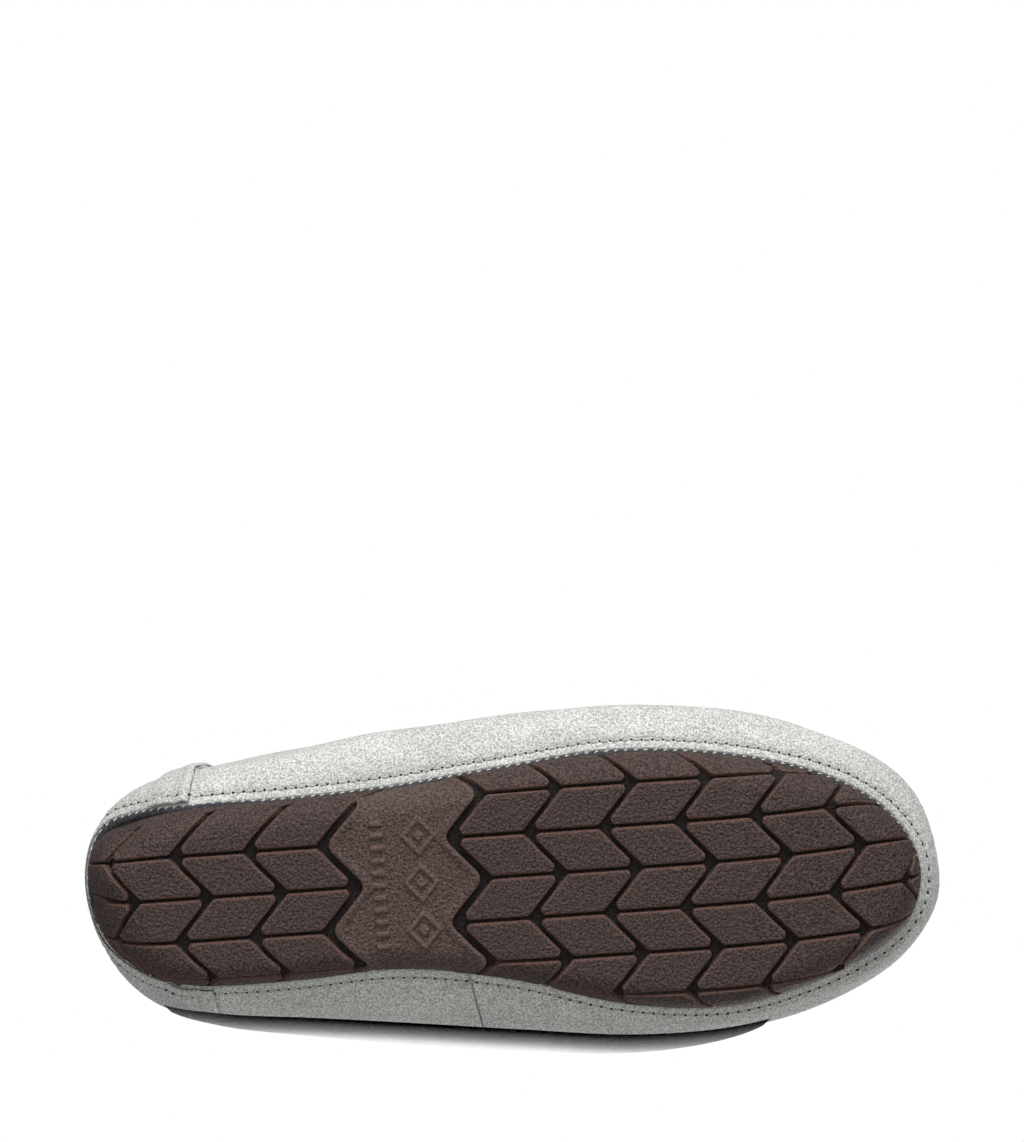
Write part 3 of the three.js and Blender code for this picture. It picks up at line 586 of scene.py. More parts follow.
def roundedQuad(corners, inset, radius, perCorner=6, perSide=9):
    # the four sides moved in by inset, joined by arcs that turn through each corner
    c = np.array(corners, float)
    side = unit(np.roll(c, -1, 0) - c)
    inner = np.column_stack([-side[:, 1], side[:, 0]])
    if (np.roll(c, -1, 0) - c)[0, 0] * (c[2] - c[1])[1] - (c[1] - c[0])[1] * (c[2] - c[1])[0] < 0:
        inner = -inner
    r = max(radius - inset, 0.25)
    moved = []
    for a in range(4):
        n0, n1, s0, s1 = inner[a - 1], inner[a], side[a - 1], side[a]
        m = np.array([n0, n1])
        moved.append(np.linalg.solve(m, [(c[a] @ n0) + inset + r, (c[a] @ n1) + inset + r]))
    moved = np.array(moved)
    loops = []
    for a in range(4):
        t = np.linspace(0, 1, perCorner)[:, None]
        n = unit(-inner[a - 1] * (1 - t) - inner[a] * t)
        loops.append(moved[a] + n * r)
        first, last = moved[a] - inner[a] * r, moved[(a + 1) % 4] - inner[a] * r
        loops.append(first + (last - first) * np.linspace(0, 1, perSide + 2)[1:-1, None])
    return np.concatenate(loops)


# (how far in from the lug's outline, how far under the tread's surface), from the buried foot to the flat top
lugProfile = [
    (-0.45, 3.4), (-0.2, 2.6), (-0.05, 0.9), (0.05, 0.5), (0.18, 0.25), (0.4, 0.08), (0.75, 0.0), (1.2, 0.0),
]
lugCrown = [0.2, 0.42, 0.64, 0.84]


def makeLugs():
    # each lug is a rounded parallelogram carried up its own profile and closed over its middle
    zig = lambda row: tread["slant"] if row % 2 == 0 else 0.0
    edge = lambda row: tread["firstRowEdge"] + tread["rowPitch"] * row
    front = [tread["plateFront"] + tread["forefootPitch"] * k for k in range(tread["forefootLines"] + 1)]
    back = [tread["plateBack"] - tread["heelPitch"] * k for k in range(tread["heelLines"], -1, -1)]
    half, gap = tread["slantGroove"] / 2, tread["rowGroove"] / 2
    cells = [(a, b, row) for a, b in zip(front, front[1:]) for row in range(-1, tread["rowCount"] + 1)]
    cells += [(a, b, row) for a, b in zip(back, back[1:]) for row in range(-1, tread["heelRows"] + 2)]
    points, quads, tris, paintedHighlight, count = [], [], [], [], 0
    for a, b, row in cells:
        inHeel = b <= tread["plateBack"] + 1
        low, high = edge(row) + gap, edge(row + 1) - gap
        if inHeel and (row == -1 or row == tread["heelRows"] + 1):
            continue
        if inHeel and row == 0:
            low -= tread["rowPitch"]
        if inHeel and row == tread["heelRows"]:
            high += tread["rowPitch"]
        at = lambda x, y: x + zig(row) + (zig(row + 1) - zig(row)) * (y - edge(row)) / tread["rowPitch"]
        corners = [(at(x, y), y) for x, y in ((a + half, low), (b - half, low), (b - half, high), (a + half, high))]
        rings = [roundedQuad(corners, inset, tread["cornerRadius"]) for inset, _ in lugProfile]
        depth = [np.full(len(rings[0]), d) for _, d in lugProfile]
        drop = [np.full(len(rings[0]), tread["rimDrop"] + max(inset, 0)) for inset, _ in lugProfile]
        seat = wrapOnSole(driftRows(rings[4]), depth[4], drop[4])
        spokes = seat - seat.mean(0)
        area = np.linalg.norm(np.cross(spokes, np.roll(spokes, -1, 0)), axis=-1).sum() / 2
        if area < tread["smallestLug"]:
            continue
        nearest = nearestFlat(rings[6])
        away = rings[6] - flatEdge[nearest]
        reach = np.linalg.norm(away, axis=-1) * ~insideFlat(rings[6])
        limit = 12 + 19 * flatShare[nearest]
        if reach.min() > limit.max():
            continue
        inside = rings[6] - unit(away) * np.maximum(reach - limit, 0)[:, None]
        middle = inside.mean(0)
        for t in lugCrown:
            rings.append(inside + (middle - inside) * t)
            depth.append(np.zeros(len(inside)))
            drop.append(np.full(len(inside), tread["rimDrop"] + 1.2))
        flat = np.concatenate([*rings, middle[None]])
        drop = np.concatenate([*drop, [tread["rimDrop"] + 1.2]])
        p = wrapOnSole(driftRows(flat), np.concatenate([*depth, [0.0]]), drop)
        m, n = len(rings[0]), len(rings)
        j = np.arange(m)
        quads.append(gridFaces(n, m, False, True, count))
        top = np.stack([np.full(m, n * m), (n - 1) * m + (j + 1) % m, (n - 1) * m + j], -1)
        bottom = np.stack([np.full(m, n * m + 1), j, (j + 1) % m], -1)
        tris.append(count + np.concatenate([top, bottom]))
        p = np.concatenate([p, p[:m].mean(0)[None]])
        points.append(p)
        # painted highlight on the rounded top edge of each lug, none on the flat top or the foot
        edgeHighlight = np.concatenate([[0, 0, 0.25, 0.6, 0.7, 0.35, 0.08, 0], np.zeros(len(lugCrown))])
        paintedHighlight.append(np.concatenate([np.repeat(edgeHighlight, m), [0.0, 0.0]]))
        count += len(p)
    piece = buildMesh("tread_lugs", np.concatenate(points), np.concatenate(quads), np.concatenate(tris))
    setAttribute(piece, "paintedHighlight", np.concatenate(paintedHighlight))
    return wear(piece, treadRubber)


def roundedZigzag(y):
    # triangle wave between the row edges, averaged over a few millimetres so that its corners are round
    offsets = np.linspace(-2.6, 2.6, 13)
    u = (y[..., None] + offsets - tread["firstRowEdge"]) / tread["rowPitch"]
    return tread["slant"] * np.abs(1 - np.abs(u) % 2).mean(-1)


def reliefMask(x, y):
    # three outlined diamonds across the sole and a row of short bars beside them, as heights from 0 to 1
    centreX, centreY = -28.5, -5.0
    mask = np.zeros_like(x)
    for k in (-1, 0, 1):
        d = np.abs(x - centreX) / 5.6 + np.abs(y - centreY - 15 * k) / 6.4
        rim = smooth(d, 0.66, 0.74) * (1 - smooth(d, 0.98, 1.06))
        core = 1 - smooth(d, 0.26, 0.36)
        mask = np.maximum(mask, np.maximum(rim, core))
    bar = 1 - smooth(np.abs((y - centreY) / 3.9 - np.round((y - centreY) / 3.9)) * 3.9, 0.65, 0.95)
    bar = bar * (1 - smooth(np.abs(x - centreX + 13.2), 1.9, 2.3)) * (1 - smooth(np.abs(y - centreY), 20.5, 21))
    return np.maximum(mask, bar)


def makePlate():
    # waist plate: a grid between its two zigzag ends, sunk a little, with the relief standing up from it
    edgeSteps, edgeDepth = [0, 0, 0, 0.05, 0.2, 0.45, 0.9], [3.4, 2.4, 0.95, 0.5, 0.25, 0.08, 0.0]
    n, m = 110, 250
    u = np.linspace(0, 1, m)
    vInner = np.linspace(0, 1, n)
    y = np.linspace(-51, 45, m)
    xBack = tread["plateBack"] + tread["plateGap"] / 2 + roundedZigzag(y)
    xFront = tread["plateFront"] - tread["plateGap"] / 2 + roundedZigzag(y)
    lead = np.array(edgeSteps)
    xs = np.concatenate([xBack[None] + lead[:, None] * 1.3,
                         xBack[None] + 1.4 + (xFront - xBack - 2.8)[None] * vInner[1:-1, None],
                         xFront[None] - lead[::-1, None] * 1.3])
    ends = np.concatenate([edgeDepth, np.zeros(n - 2), edgeDepth[::-1]])
    ys = np.broadcast_to(y, xs.shape)
    inner = np.minimum(1, np.minimum(xs - xBack, xFront - xs) / 5).clip(0)
    sunk = tread["plateRecess"] * smooth(inner, 0.3, 0.9) * (1 - reliefMask(xs, ys))
    depth = np.maximum(ends[:, None], 0) + sunk * (ends[:, None] < 0.01)
    flat = np.column_stack([xs.ravel(), ys.ravel()])
    p = wrapOnSole(flat, depth.ravel(), np.full(len(flat), tread["rimDrop"]))
    piece = buildMesh("tread_plate", p, gridFaces(*xs.shape, True))
    # painted highlight on the plate's rounded ends and, stronger, on its relief
    highlightRow = np.concatenate([[0, 0, 0.3, 0.6, 0.6, 0.3, 0.1], np.zeros(n - 2), [0.1, 0.3, 0.6, 0.6, 0.3, 0, 0]])
    setAttribute(piece, "paintedHighlight", np.broadcast_to(highlightRow[:, None], xs.shape) + 0.7 * (reliefMask(xs, ys) > 0.5))
    return wear(piece, plateRubber)


plateRubber = makeRubber("mouldedRubberPlate", "#665550", "#3f3430", "#6c564d")


def makeSoleBase():
    # closed shell: the groove floor from the middle line out over the rounded edge, a rounded rim, and the inside
    theta = np.linspace(0, turn, 480, endpoint=False)
    c, n = solePlan(theta), soleNormal(theta)
    share = heelShare(c[:, 0])
    across = form["edgeRadius"] + (form["heelRadius"] - form["edgeRadius"]) * share
    high = form["rimHeight"] + form["heelWrapRise"] * share
    flat = c - n * across[:, None]
    middle = np.column_stack([0.75 * c[:, 0], 0.036 * c[:, 0]])
    rings = []
    for t in (1, 0.8, 0.55, 0.3, 0.12):
        p = flat + (middle - flat) * t
        rings.append(np.column_stack([p, springAt(p[:, 0]) + form["lugHeight"]]))
    for phi in np.radians([0, 12, 24, 36, 48, 60, 70, 80, 90]):
        inset = form["lugHeight"] * (1 - form["rimGrooveShare"] * math.sin(phi) ** 2)
        p = flat + n * ((across - inset) * math.sin(phi))[:, None]
        rings.append(np.column_stack([p, springAt(p[:, 0]) + high - (high - inset) * math.cos(phi)]))
    wall = form["lugHeight"] * (1 - form["rimGrooveShare"])
    rim = form["rimThickness"]
    for inset, rise in ((0.25, 0.3), (0.8, 0.42), (rim, 0.3), (rim + 0.2, -2.5)):
        p = c - n * (wall + inset)
        rings.append(np.column_stack([p, springAt(p[:, 0]) + high + rise]))
    for t in (0.3, 0.7, 1):
        p = flat + (middle - flat) * t
        rings.append(np.column_stack([p, springAt(p[:, 0]) + form["lugHeight"] + 2.6]))
    rings = np.stack(rings, 1)
    quads = gridFaces(len(theta), rings.shape[1], True)
    piece = buildMesh("sole_base", rings, quads, replaces=["outsole"])
    # the whole shell, groove floor, rim and inside, takes the darker groove rubber: painted shade
    return wear(piece, shadedGrooveRubber)


makeSoleBase()
makeLugs()
makePlate()
print("outsole made")

# suede panels

panelSpec = {
    "thickness": 1.6, "round": 0.75, "columnStep": 0.8, "stitchInset": 3.3, "edgeDrop": 0.6, "stitchPitch": 3.3,
    "stitchDip": 0.45, "pucker": 0.1, "wave": 0.35, "gather": 0.55, "gatherPitch": 5.2,
}
# distances in mm from the lower edge, close together where the stitch row draws the suede in
rowsNearEdge = np.array([0, 0.1, 0.3, 0.55, 0.9, 1.4, 2.0, 2.6, 3.1, 3.5, 3.8, 4.1, 4.4, 4.8, 5.3, 5.9, 6.7, 7.6])


def arcLength(theta):
    # distance run round the lower edge of the suede up to each sweep angle
    t = np.linspace(-1.5, turn + 1.5, 5001)
    edge = levels(t)[0]
    run = np.concatenate([[0], np.cumsum(np.linalg.norm(np.diff(edge, axis=0), axis=1))])
    return np.interp(theta, t, run)


def sweepFrom(first, last, step):
    # sweep angles an even distance apart along the lower edge
    t = np.linspace(first, last, 3000)
    run = arcLength(t)
    return np.interp(np.linspace(run[0], run[-1], int((run[-1] - run[0]) / step)), run, t)


def suedeRelief(theta, v, fromEdge):
    # small heights in mm: the furrow of the stitch row, its puckers, and slow waves of the hand-lasted panel
    run = arcLength(theta)[:, None]
    s = fromEdge
    furrow = np.exp(-((s - panelSpec["stitchInset"]) / 0.75) ** 2)
    knots = np.cos(turn * run / panelSpec["stitchPitch"])
    dip = -panelSpec["stitchDip"] * furrow * (0.75 + 0.25 * knots)
    draw = np.cos(turn * run / panelSpec["stitchPitch"] + 2 * np.sin(run / 11))
    pucker = panelSpec["pucker"] * np.exp(-((s - 5.6) / 2.6) ** 2) * draw
    x = solePlan(theta)[:, :1]
    wave = np.sin(run / 13 + 3 * v) * np.cos(2.3 * v + run / 31) + 0.5 * np.sin(run / 7.3 - 4.1 * v + 1)
    wave = panelSpec["wave"] * wave * smooth(s, 2, 14)
    folds = np.abs(np.sin(math.pi * run / panelSpec["gatherPitch"])) - 0.6
    gather = panelSpec["gather"] * smooth(v, 3.2, 3.95) * smooth(x, 35, 62) * folds
    return dip + pucker + wave + gather


def sewnPanel(name, first, last, low, high, lift, node, material, foldEnds=False):
    # outer face with all four edges rounded, inner face under it, walls between; it stands lift off the last
    theta = sweepFrom(first, last, panelSpec["columnStep"])
    e = panelSpec["round"]
    ends = np.array([0, 0.06, 0.2, 0.45, 0.75]) * e
    run = arcLength(theta)
    inner = (run > run[0] + e + 0.1) & (run < run[-1] - e - 0.1)
    t = np.concatenate([run[0] + ends, run[inner], (run[-1] - ends)[::-1]])
    theta = np.interp(t, run, theta)
    fromEnd = np.minimum(t - t[0], t[-1] - t)[:, None]
    base = upperPoint(theta, np.array([low, low + 0.25]))
    perV = np.linalg.norm(base[:, 1] - base[:, 0], axis=-1)[:, None] / 0.25
    low = low - panelSpec["edgeDrop"] / perV
    vNear = low + rowsNearEdge[None] / perV
    vTop = high - np.array([1.1, 0.55, 0.28, 0.08, 0.0])[None] * e / perV * 1.2
    mid = np.linspace(0, 1, 25)[None, 1:-1]
    v = np.concatenate([vNear, vNear[:, -1:] + (vTop[:, :1] - vNear[:, -1:]) * mid, vTop], 1)
    fromLow, fromHigh = (v - low) * perV, (high - v) * perV * 0.9
    s = np.minimum(np.minimum(fromLow, fromHigh), fromEnd)
    edge = e * (1 - np.sqrt(1 - (1 - np.clip(s / e, 0, 1)) ** 2))
    place, out, rise = upperFrame(theta, v)
    lifted = lift(theta, fromEnd)
    height = lifted + panelSpec["thickness"] - edge + suedeRelief(theta, v, fromLow)
    if foldEnds:
        # a rolled fold along the edge and the furrow of its stitches behind it
        height = height + 0.55 * np.exp(-((fromEnd - 1.5) / 1.3) ** 2)
        height = height - 0.35 * np.exp(-((fromEnd - 4.2) / 0.7) ** 2)
    outer = place + out * height[..., None]
    keep = np.unique(np.concatenate([np.arange(0, v.shape[1], 6), [v.shape[1] - 1]]))
    under = place[:, keep] + out[:, keep] * (np.broadcast_to(lifted, v.shape)[:, keep] + 0.0)[..., None]
    n, m, k = len(theta), v.shape[1], len(keep)
    points = np.concatenate([outer.reshape(-1, 3), under.reshape(-1, 3)])
    quads = [gridFaces(n, m), gridFaces(n, k, start=n * m)[:, ::-1]]
    i = np.arange(n - 1)
    quads.append(np.stack([i * m, n * m + i * k, n * m + (i + 1) * k, (i + 1) * m], -1)[:, ::-1])
    upper, lower = i * m + m - 1, n * m + i * k + k - 1
    quads.append(np.stack([upper, lower, lower + k, upper + m], -1))
    tris = []
    for row, flip in ((0, False), (n - 1, True)):
        for a, (j0, j1) in enumerate(zip(keep, keep[1:])):
            j = np.arange(j0, j1)
            fan = np.stack([row * m + j, row * m + j + 1, np.full(len(j), n * m + row * k + a)], -1)
            closing = np.array([[row * m + j1, n * m + row * k + a + 1, n * m + row * k + a]])
            fan = np.concatenate([fan, closing])
            tris.append(fan if flip else fan[:, ::-1])
    piece = buildMesh(name, points, np.concatenate(quads), np.concatenate(tris), [node])
    return wear(piece, material)


seam = turn - sweepAt(-12.4)
patchOuter, patchInner = float(sweepAt(-98)), -float(sweepAt(-95))
throat = float(sweepAt(33))


def overPatch(theta):
    # how far the heel patch stands off the last: it laps over the side panels and lies close behind them
    run = arcLength((theta + math.pi) % turn - math.pi)
    fromFront = np.minimum(run - arcLength(patchInner), arcLength(patchOuter) - run)
    return (0.3 + 1.6 * (1 - smooth(fromFront, 9, 17))) * smooth(fromFront, -0.6, 0.6)


def patchStandOff(theta, fromEnd):
    return (0.3 + 1.6 * (1 - smooth(fromEnd, 9, 17)))


def seamDip(theta, fromEnd):
    # the two panels turn in where they meet at the inner seam
    return -0.3 * np.exp(-((arcLength(theta) - arcLength(seam)) / 1.4) ** 2)[:, None] + 0 * fromEnd


sewnPanel("suede_vamp", float(sweepAt(-108)), seam - 0.001, 0, 4, seamDip, "vamp", suede)
sewnPanel("suede_inner_quarter", seam + 0.001, turn - float(sweepAt(-105)), 0, 4, seamDip, "medial_quarter", suede)
sewnPanel("suede_heel_patch", patchInner, patchOuter, 0.06, 4, patchStandOff, "heel_patch", heelSuede, True)
print("suede panels made")

# stitches

threadSpec = {
    "soleGauge": 0.42, "soleStitch": 2.15, "solePitch": 3.3, "strobelPitch": 3.1, "strobelGauge": 0.27,
    "patchStitch": 2.0, "patchGauge": 0.34,
    "apronPitch": 5.2, "apronStitch": 4.6, "apronGauge": 0.75,
}


def capsules(name, centre, ahead, up, length, gauge, node, material):
    # one low-sided tapered loop of thread a stitch: rings along its run, dipping at both ends
    t = np.array([-1, -0.93, -0.6, 0, 0.6, 0.93, 1.0])
    width = gauge * np.array([0.25, 0.7, 1, 1.05, 1, 0.7, 0.25])
    dip = -gauge * np.array([1.5, 0.85, 0.15, 0, 0.15, 0.85, 1.5])
    flat = 0.75
    a = np.linspace(0, turn, 6, endpoint=False)
    side = unit(np.cross(ahead, up))
    rings = (centre[:, None, None] + ahead[:, None, None] * (t * length / 2)[None, :, None, None]
             + up[:, None, None] * (dip[:, None] + flat * width[:, None] * np.sin(a)[None])[None, ..., None]
             + side[:, None, None] * (width[:, None] * np.cos(a)[None])[None, ..., None])
    n, r, m = rings.shape[:3]
    local = gridFaces(r, m, False, True)
    low = centre - up * gauge * 1.7
    caps = np.stack([low - ahead * length / 2, low + ahead * length / 2], 1)
    points = np.concatenate([rings.reshape(n, -1, 3), caps], 1)
    size = r * m + 2
    j = np.arange(m)
    fans = np.concatenate([np.stack([np.full(m, r * m), (j + 1) % m, j], -1),
                           np.stack([np.full(m, r * m + 1), (r - 1) * m + j, (r - 1) * m + (j + 1) % m], -1)])
    start = np.arange(n)[:, None, None] * size
    quads, tris = (local[None] + start).reshape(-1, 4), (fans[None] + start).reshape(-1, 3)
    piece = buildMesh(name, points, quads, tris, [node] if node else ())
    return wear(piece, material)


def soleRow(inset, pitch, shift=0.0):
    # evenly spaced places on the outer suede face along the lower edge, with their run and outward directions
    t = sweepFrom(0.0, turn, pitch)[:-1] + shift
    perV = np.linalg.norm(np.diff(upperPoint(t, np.array([0, 0.25])), axis=1)[:, 0], axis=-1) / 0.25
    v = ((inset - panelSpec["edgeDrop"]) / perV)[:, None]
    place, out, rise = upperFrame(t, v)
    ahead = unit(upperFrame(t + 0.004, v)[0] - upperFrame(t - 0.004, v)[0])
    base = overPatch(t) + panelSpec["thickness"] - panelSpec["stitchDip"] * 0.9
    return t, place[:, 0] + out[:, 0] * base[:, None], ahead[:, 0], out[:, 0]


t, place, ahead, out = soleRow(panelSpec["stitchInset"], threadSpec["solePitch"])
rng = np.random.default_rng(7)
ahead = unit(ahead + np.cross(out, ahead) * rng.normal(0, 0.035, (len(t), 1)))
capsules("sole_stitches", place + out * 0.3, ahead, out, threadSpec["soleStitch"], threadSpec["soleGauge"],
         "sole_stitch_thread", greyThread)
half = threadSpec["solePitch"] / 2
# dark capsules between the stitches stand for the needle holes: painted shade
capsules("sole_stitch_holes", place + ahead * half + out * 0.05, ahead, out, 1.25, 0.42, None, holeShade)


def makeFeltEdge():
    # folded felt strip round the sole, seen as a dark line between rubber and suede; closed ring
    theta = np.linspace(0, turn, 720, endpoint=False)
    c, n, rim = solePlan(theta), soleNormal(theta), rimAt(theta)
    a = np.linspace(0, turn, 12, endpoint=False)
    fuzz = rng.normal(0, 0.05, (len(theta), len(a)))
    gap = heelShare(c[:, 0] - 30) * (c[:, 1] < 5)
    across = -1.35 + 0.75 * gap[:, None] + (1.5 + fuzz) * np.cos(a)[None]
    z = rim[:, None] + 1.6 + (1.2 + fuzz) * np.sin(a)[None]
    points = np.concatenate([c[:, None] + n[:, None] * across[..., None], z[..., None]], -1)
    quads = gridFaces(len(theta), len(a), True, True)
    piece = buildMesh("felt_edge", points, quads, replaces=["strobel_board"])
    wear(piece, darkFelt)
    t = sweepFrom(0.0, turn, threadSpec["strobelPitch"])[:-1]
    gap = heelShare(solePlan(t)[:, 0] - 30) * (solePlan(t)[:, 1] < 5)
    plan = solePlan(t) + soleNormal(t) * (0.75 * gap - 0.1)[:, None]
    place = np.concatenate([plan, (rimAt(t) + 1.5)[:, None]], 1)
    out = np.concatenate([soleNormal(t), 0 * t[:, None]], 1)
    slantUp = unit(np.stack([-out[:, 1], out[:, 0], np.full(len(t), 0.55)], -1))
    capsules("strobel_stitches", place + out * 0.2, slantUp, out, 1.7, threadSpec["strobelGauge"],
             "strobel_thread", whiteThread)


makeFeltEdge()


def patchRows(name, theta, node, side):
    # two rows of small stitches down the folded edge of the heel patch
    v = np.linspace(0.35, 3.85, 17)
    centres, runs, outs = [], [], []
    for shift in (0.021, 0.052):
        at = np.array([theta + side * shift])
        place, out, rise = upperFrame(at, v)
        centres.append(place[0] + out[0] * 3.35)
        runs.append(rise[0])
        outs.append(out[0])
    centres, runs, outs = np.concatenate(centres), np.concatenate(runs), np.concatenate(outs)
    capsules(name, centres, runs, outs, threadSpec["patchStitch"], threadSpec["patchGauge"], node, greyThread)


patchRows("patch_stitches_outer", patchOuter, "patch_thread_outer", -1)
patchRows("patch_stitches_inner", patchInner, "patch_thread_inner", 1)
print("stitches made")

# apron

apronSpec = {"thickness": 1.6, "rib": 1.1, "round": 0.8, "wave": 0.3}


def sandwich(outer, under):
    # two matching grids joined round their edges into one closed sheet
    n, m = outer.shape[:2]
    quads = gridFaces(n, 2 * m, False, True)
    first, last = np.arange(m - 1), 2 * m - 1 - np.arange(m - 1)
    cap = np.stack([first, first + 1, last - 1, last], -1)
    quads = np.concatenate([quads, cap[:, ::-1], cap + (n - 1) * 2 * m])
    return np.concatenate([outer, under[:, ::-1]], 1).reshape(-1, 3), quads


def makeApron():
    # the plug over the toes: crowned sheet with rounded edges, rolled up where the vamp is gathered to it
    theta = np.linspace(throat, math.pi - 0.1, 150)
    w = np.sin(np.linspace(-math.pi / 2, math.pi / 2, 91)) * 0.985
    place, out = apronFrame(theta, w)
    side = 1 - np.abs(w)[None]
    width = np.linalg.norm(place[:, 0] - place[:, -1], axis=-1)[:, None]
    fromSide = side * width / 2
    fromBack = np.linalg.norm(place - place[:1], axis=-1)
    run = arcLength(theta)[:, None]
    beads = 0.85 + 0.15 * np.cos(turn * run / panelSpec["gatherPitch"])
    roll = apronSpec["rib"] * np.exp(-((fromSide - 1.4) / 1.5) ** 2) * beads
    waves = np.sin(place[..., 0] / 9 + 2 * w) * np.cos(place[..., 1] / 12) * smooth(fromSide, 2, 10)
    e = apronSpec["round"]
    edge = e * (1 - np.sqrt(1 - (1 - np.clip(np.minimum(fromSide, fromBack) / e, 0, 1)) ** 2))
    height = apronSpec["thickness"] - edge + roll + apronSpec["wave"] * waves
    outer = place + out * height[..., None]
    under = place + out * -0.2
    points, quads = sandwich(outer, under)
    piece = buildMesh("suede_apron", points, quads, replaces=["apron"])
    wear(piece, suede)
    t = sweepFrom(float(sweepAt(46)), turn - float(sweepAt(46)), threadSpec["apronPitch"])
    place, out, rise = upperFrame(t, np.array([3.93]))
    place, out, rise = place[:, 0], out[:, 0], rise[:, 0]
    up = unit(out + rise * 0.4)
    lay = unit(rise + 0.3 * np.cross(out, rise))
    capsules("apron_stitches", place + up * 2.5, lay, up, threadSpec["apronStitch"], threadSpec["apronGauge"],
             "apron_thread", whiteThread)


makeApron()
print("apron made")

# wool

woolSpec = {
    "lockLength": 6.5, "lockWidth": 0.95, "cuffLocks": 3400, "insoleLocks": 3000, "quarterLocks": 3000,
    "vampLocks": 1600, "apronLocks": 900, "lump": 1.1,
}


def lumpy(points, size, height, seed):
    # sum of a few turned sines, an even soft unevenness in three directions
    r = np.random.default_rng(seed)
    total = 0
    for k in range(6):
        d = unit(r.normal(0, 1, 3))
        total = total + np.sin(points @ d * turn / size * r.uniform(0.7, 1.5) + r.uniform(0, turn))
    return height * total / 6


def curlyLocks(place, out, seed, length=None):
    # each lock is a short tapered tube that rises, leans and curls over itself like a fleece lock
    r = np.random.default_rng(seed)
    n = len(place)
    length = (woolSpec["lockLength"] if length is None else length) * r.uniform(0.7, 1.25, n)
    width = woolSpec["lockWidth"] * r.uniform(0.75, 1.25, n)
    lean = unit(np.cross(out, unit(r.normal(0, 1, (n, 3)))))
    across = unit(np.cross(out, lean))
    t = np.linspace(0, 1, 7)
    bend = r.uniform(3.4, 5.6, n)[:, None] * t[None] ** 0.9
    radius = (length / r.uniform(4.0, 5.5, n))[:, None]
    rise = radius * np.sin(bend) * 1.0 + length[:, None] * 0.16 * t
    side = radius * (1 - np.cos(bend)) * 0.75
    twist = radius * 0.55 * np.sin(bend * 0.8) * r.choice([-1, 1], n)[:, None]
    path = place[:, None] + out[:, None] * (rise - 0.3)[..., None]
    path = path + lean[:, None] * side[..., None] + across[:, None] * twist[..., None]
    run = unit(np.gradient(path, axis=1))
    a1 = unit(np.cross(run, across[:, None] + 0.3 * out[:, None]))
    a2 = np.cross(run, a1)
    a = np.linspace(0, turn, 4, endpoint=False)
    thick = width[:, None] * (np.array([0.9, 1.0, 1.0, 0.95, 0.8, 0.6, 0.28]))[None]
    spokes = a1[:, :, None] * np.cos(a)[:, None] + a2[:, :, None] * np.sin(a)[:, None]
    rings = path[:, :, None] + spokes * thick[..., None, None]
    k, m = 7, 4
    size = k * m
    points = rings.reshape(-1, 3)
    local = gridFaces(k, m, False, True)
    caps = np.array([[3, 2, 1, 0], [size - 4, size - 3, size - 2, size - 1]])
    local = np.concatenate([local, caps])
    quads = (local[None] + np.arange(n)[:, None, None] * size).reshape(-1, 4)
    return points, quads


def scatter(grid, outs, count, seed, closeN=False, closeM=False):
    # places spread evenly by area over a grid surface, a little ordered so that no bald spots are left
    r = np.random.default_rng(seed)
    n, m = grid.shape[:2]
    q = gridFaces(n, m, closeN, closeM)
    p, o = grid.reshape(-1, 3), outs.reshape(-1, 3)
    a, b, c, d = (p[q[:, k]] for k in range(4))
    area = np.linalg.norm(np.cross(c - a, d - b), axis=-1)
    pick = np.searchsorted(np.cumsum(area) / area.sum(), (np.arange(count) + r.uniform(0, 1, count)) / count)
    pick = np.clip(pick, 0, len(q) - 1)
    u, v = r.uniform(0, 1, (2, count, 1))

    def mixed(x):
        a, b, c, d = (x[q[pick, k]] for k in range(4))
        return (a * (1 - u) + b * u) * (1 - v) + (d * (1 - u) + c * u) * v

    return mixed(p), unit(mixed(o))


def woolPiece(name, points, quads, locks, lockQuads, node):
    quads = np.concatenate([quads, lockQuads + len(points)])
    return wear(buildMesh(name, np.concatenate([points, locks]), quads, None, [node]), wool)


def openingFrames():
    back = np.linspace(throat, -throat, 45)
    at, out, rise = upperFrame(back, np.array([4.0]))
    frames = [np.stack([at[:, 0], out[:, 0], rise[:, 0]], 1)]
    w = 0.92 * np.linspace(1, -1, 13)
    at, out = apronFrame(np.array([throat]), w)
    rise = unit(apronPoint(np.array([throat - 0.01]), w[None]) - at)
    frames.append(np.stack([at[0], out[0], rise[0]], 1))
    f = np.concatenate(frames)
    for k in range(6):
        mean = (np.roll(f, 1, 0) + np.roll(f, -1, 0)) / 2
        new = (f + mean) / 2
        if k >= 2:
            new[:, 0] = f[:, 0]
        f = new
    f[:, 1:] = unit(f[:, 1:])
    return f


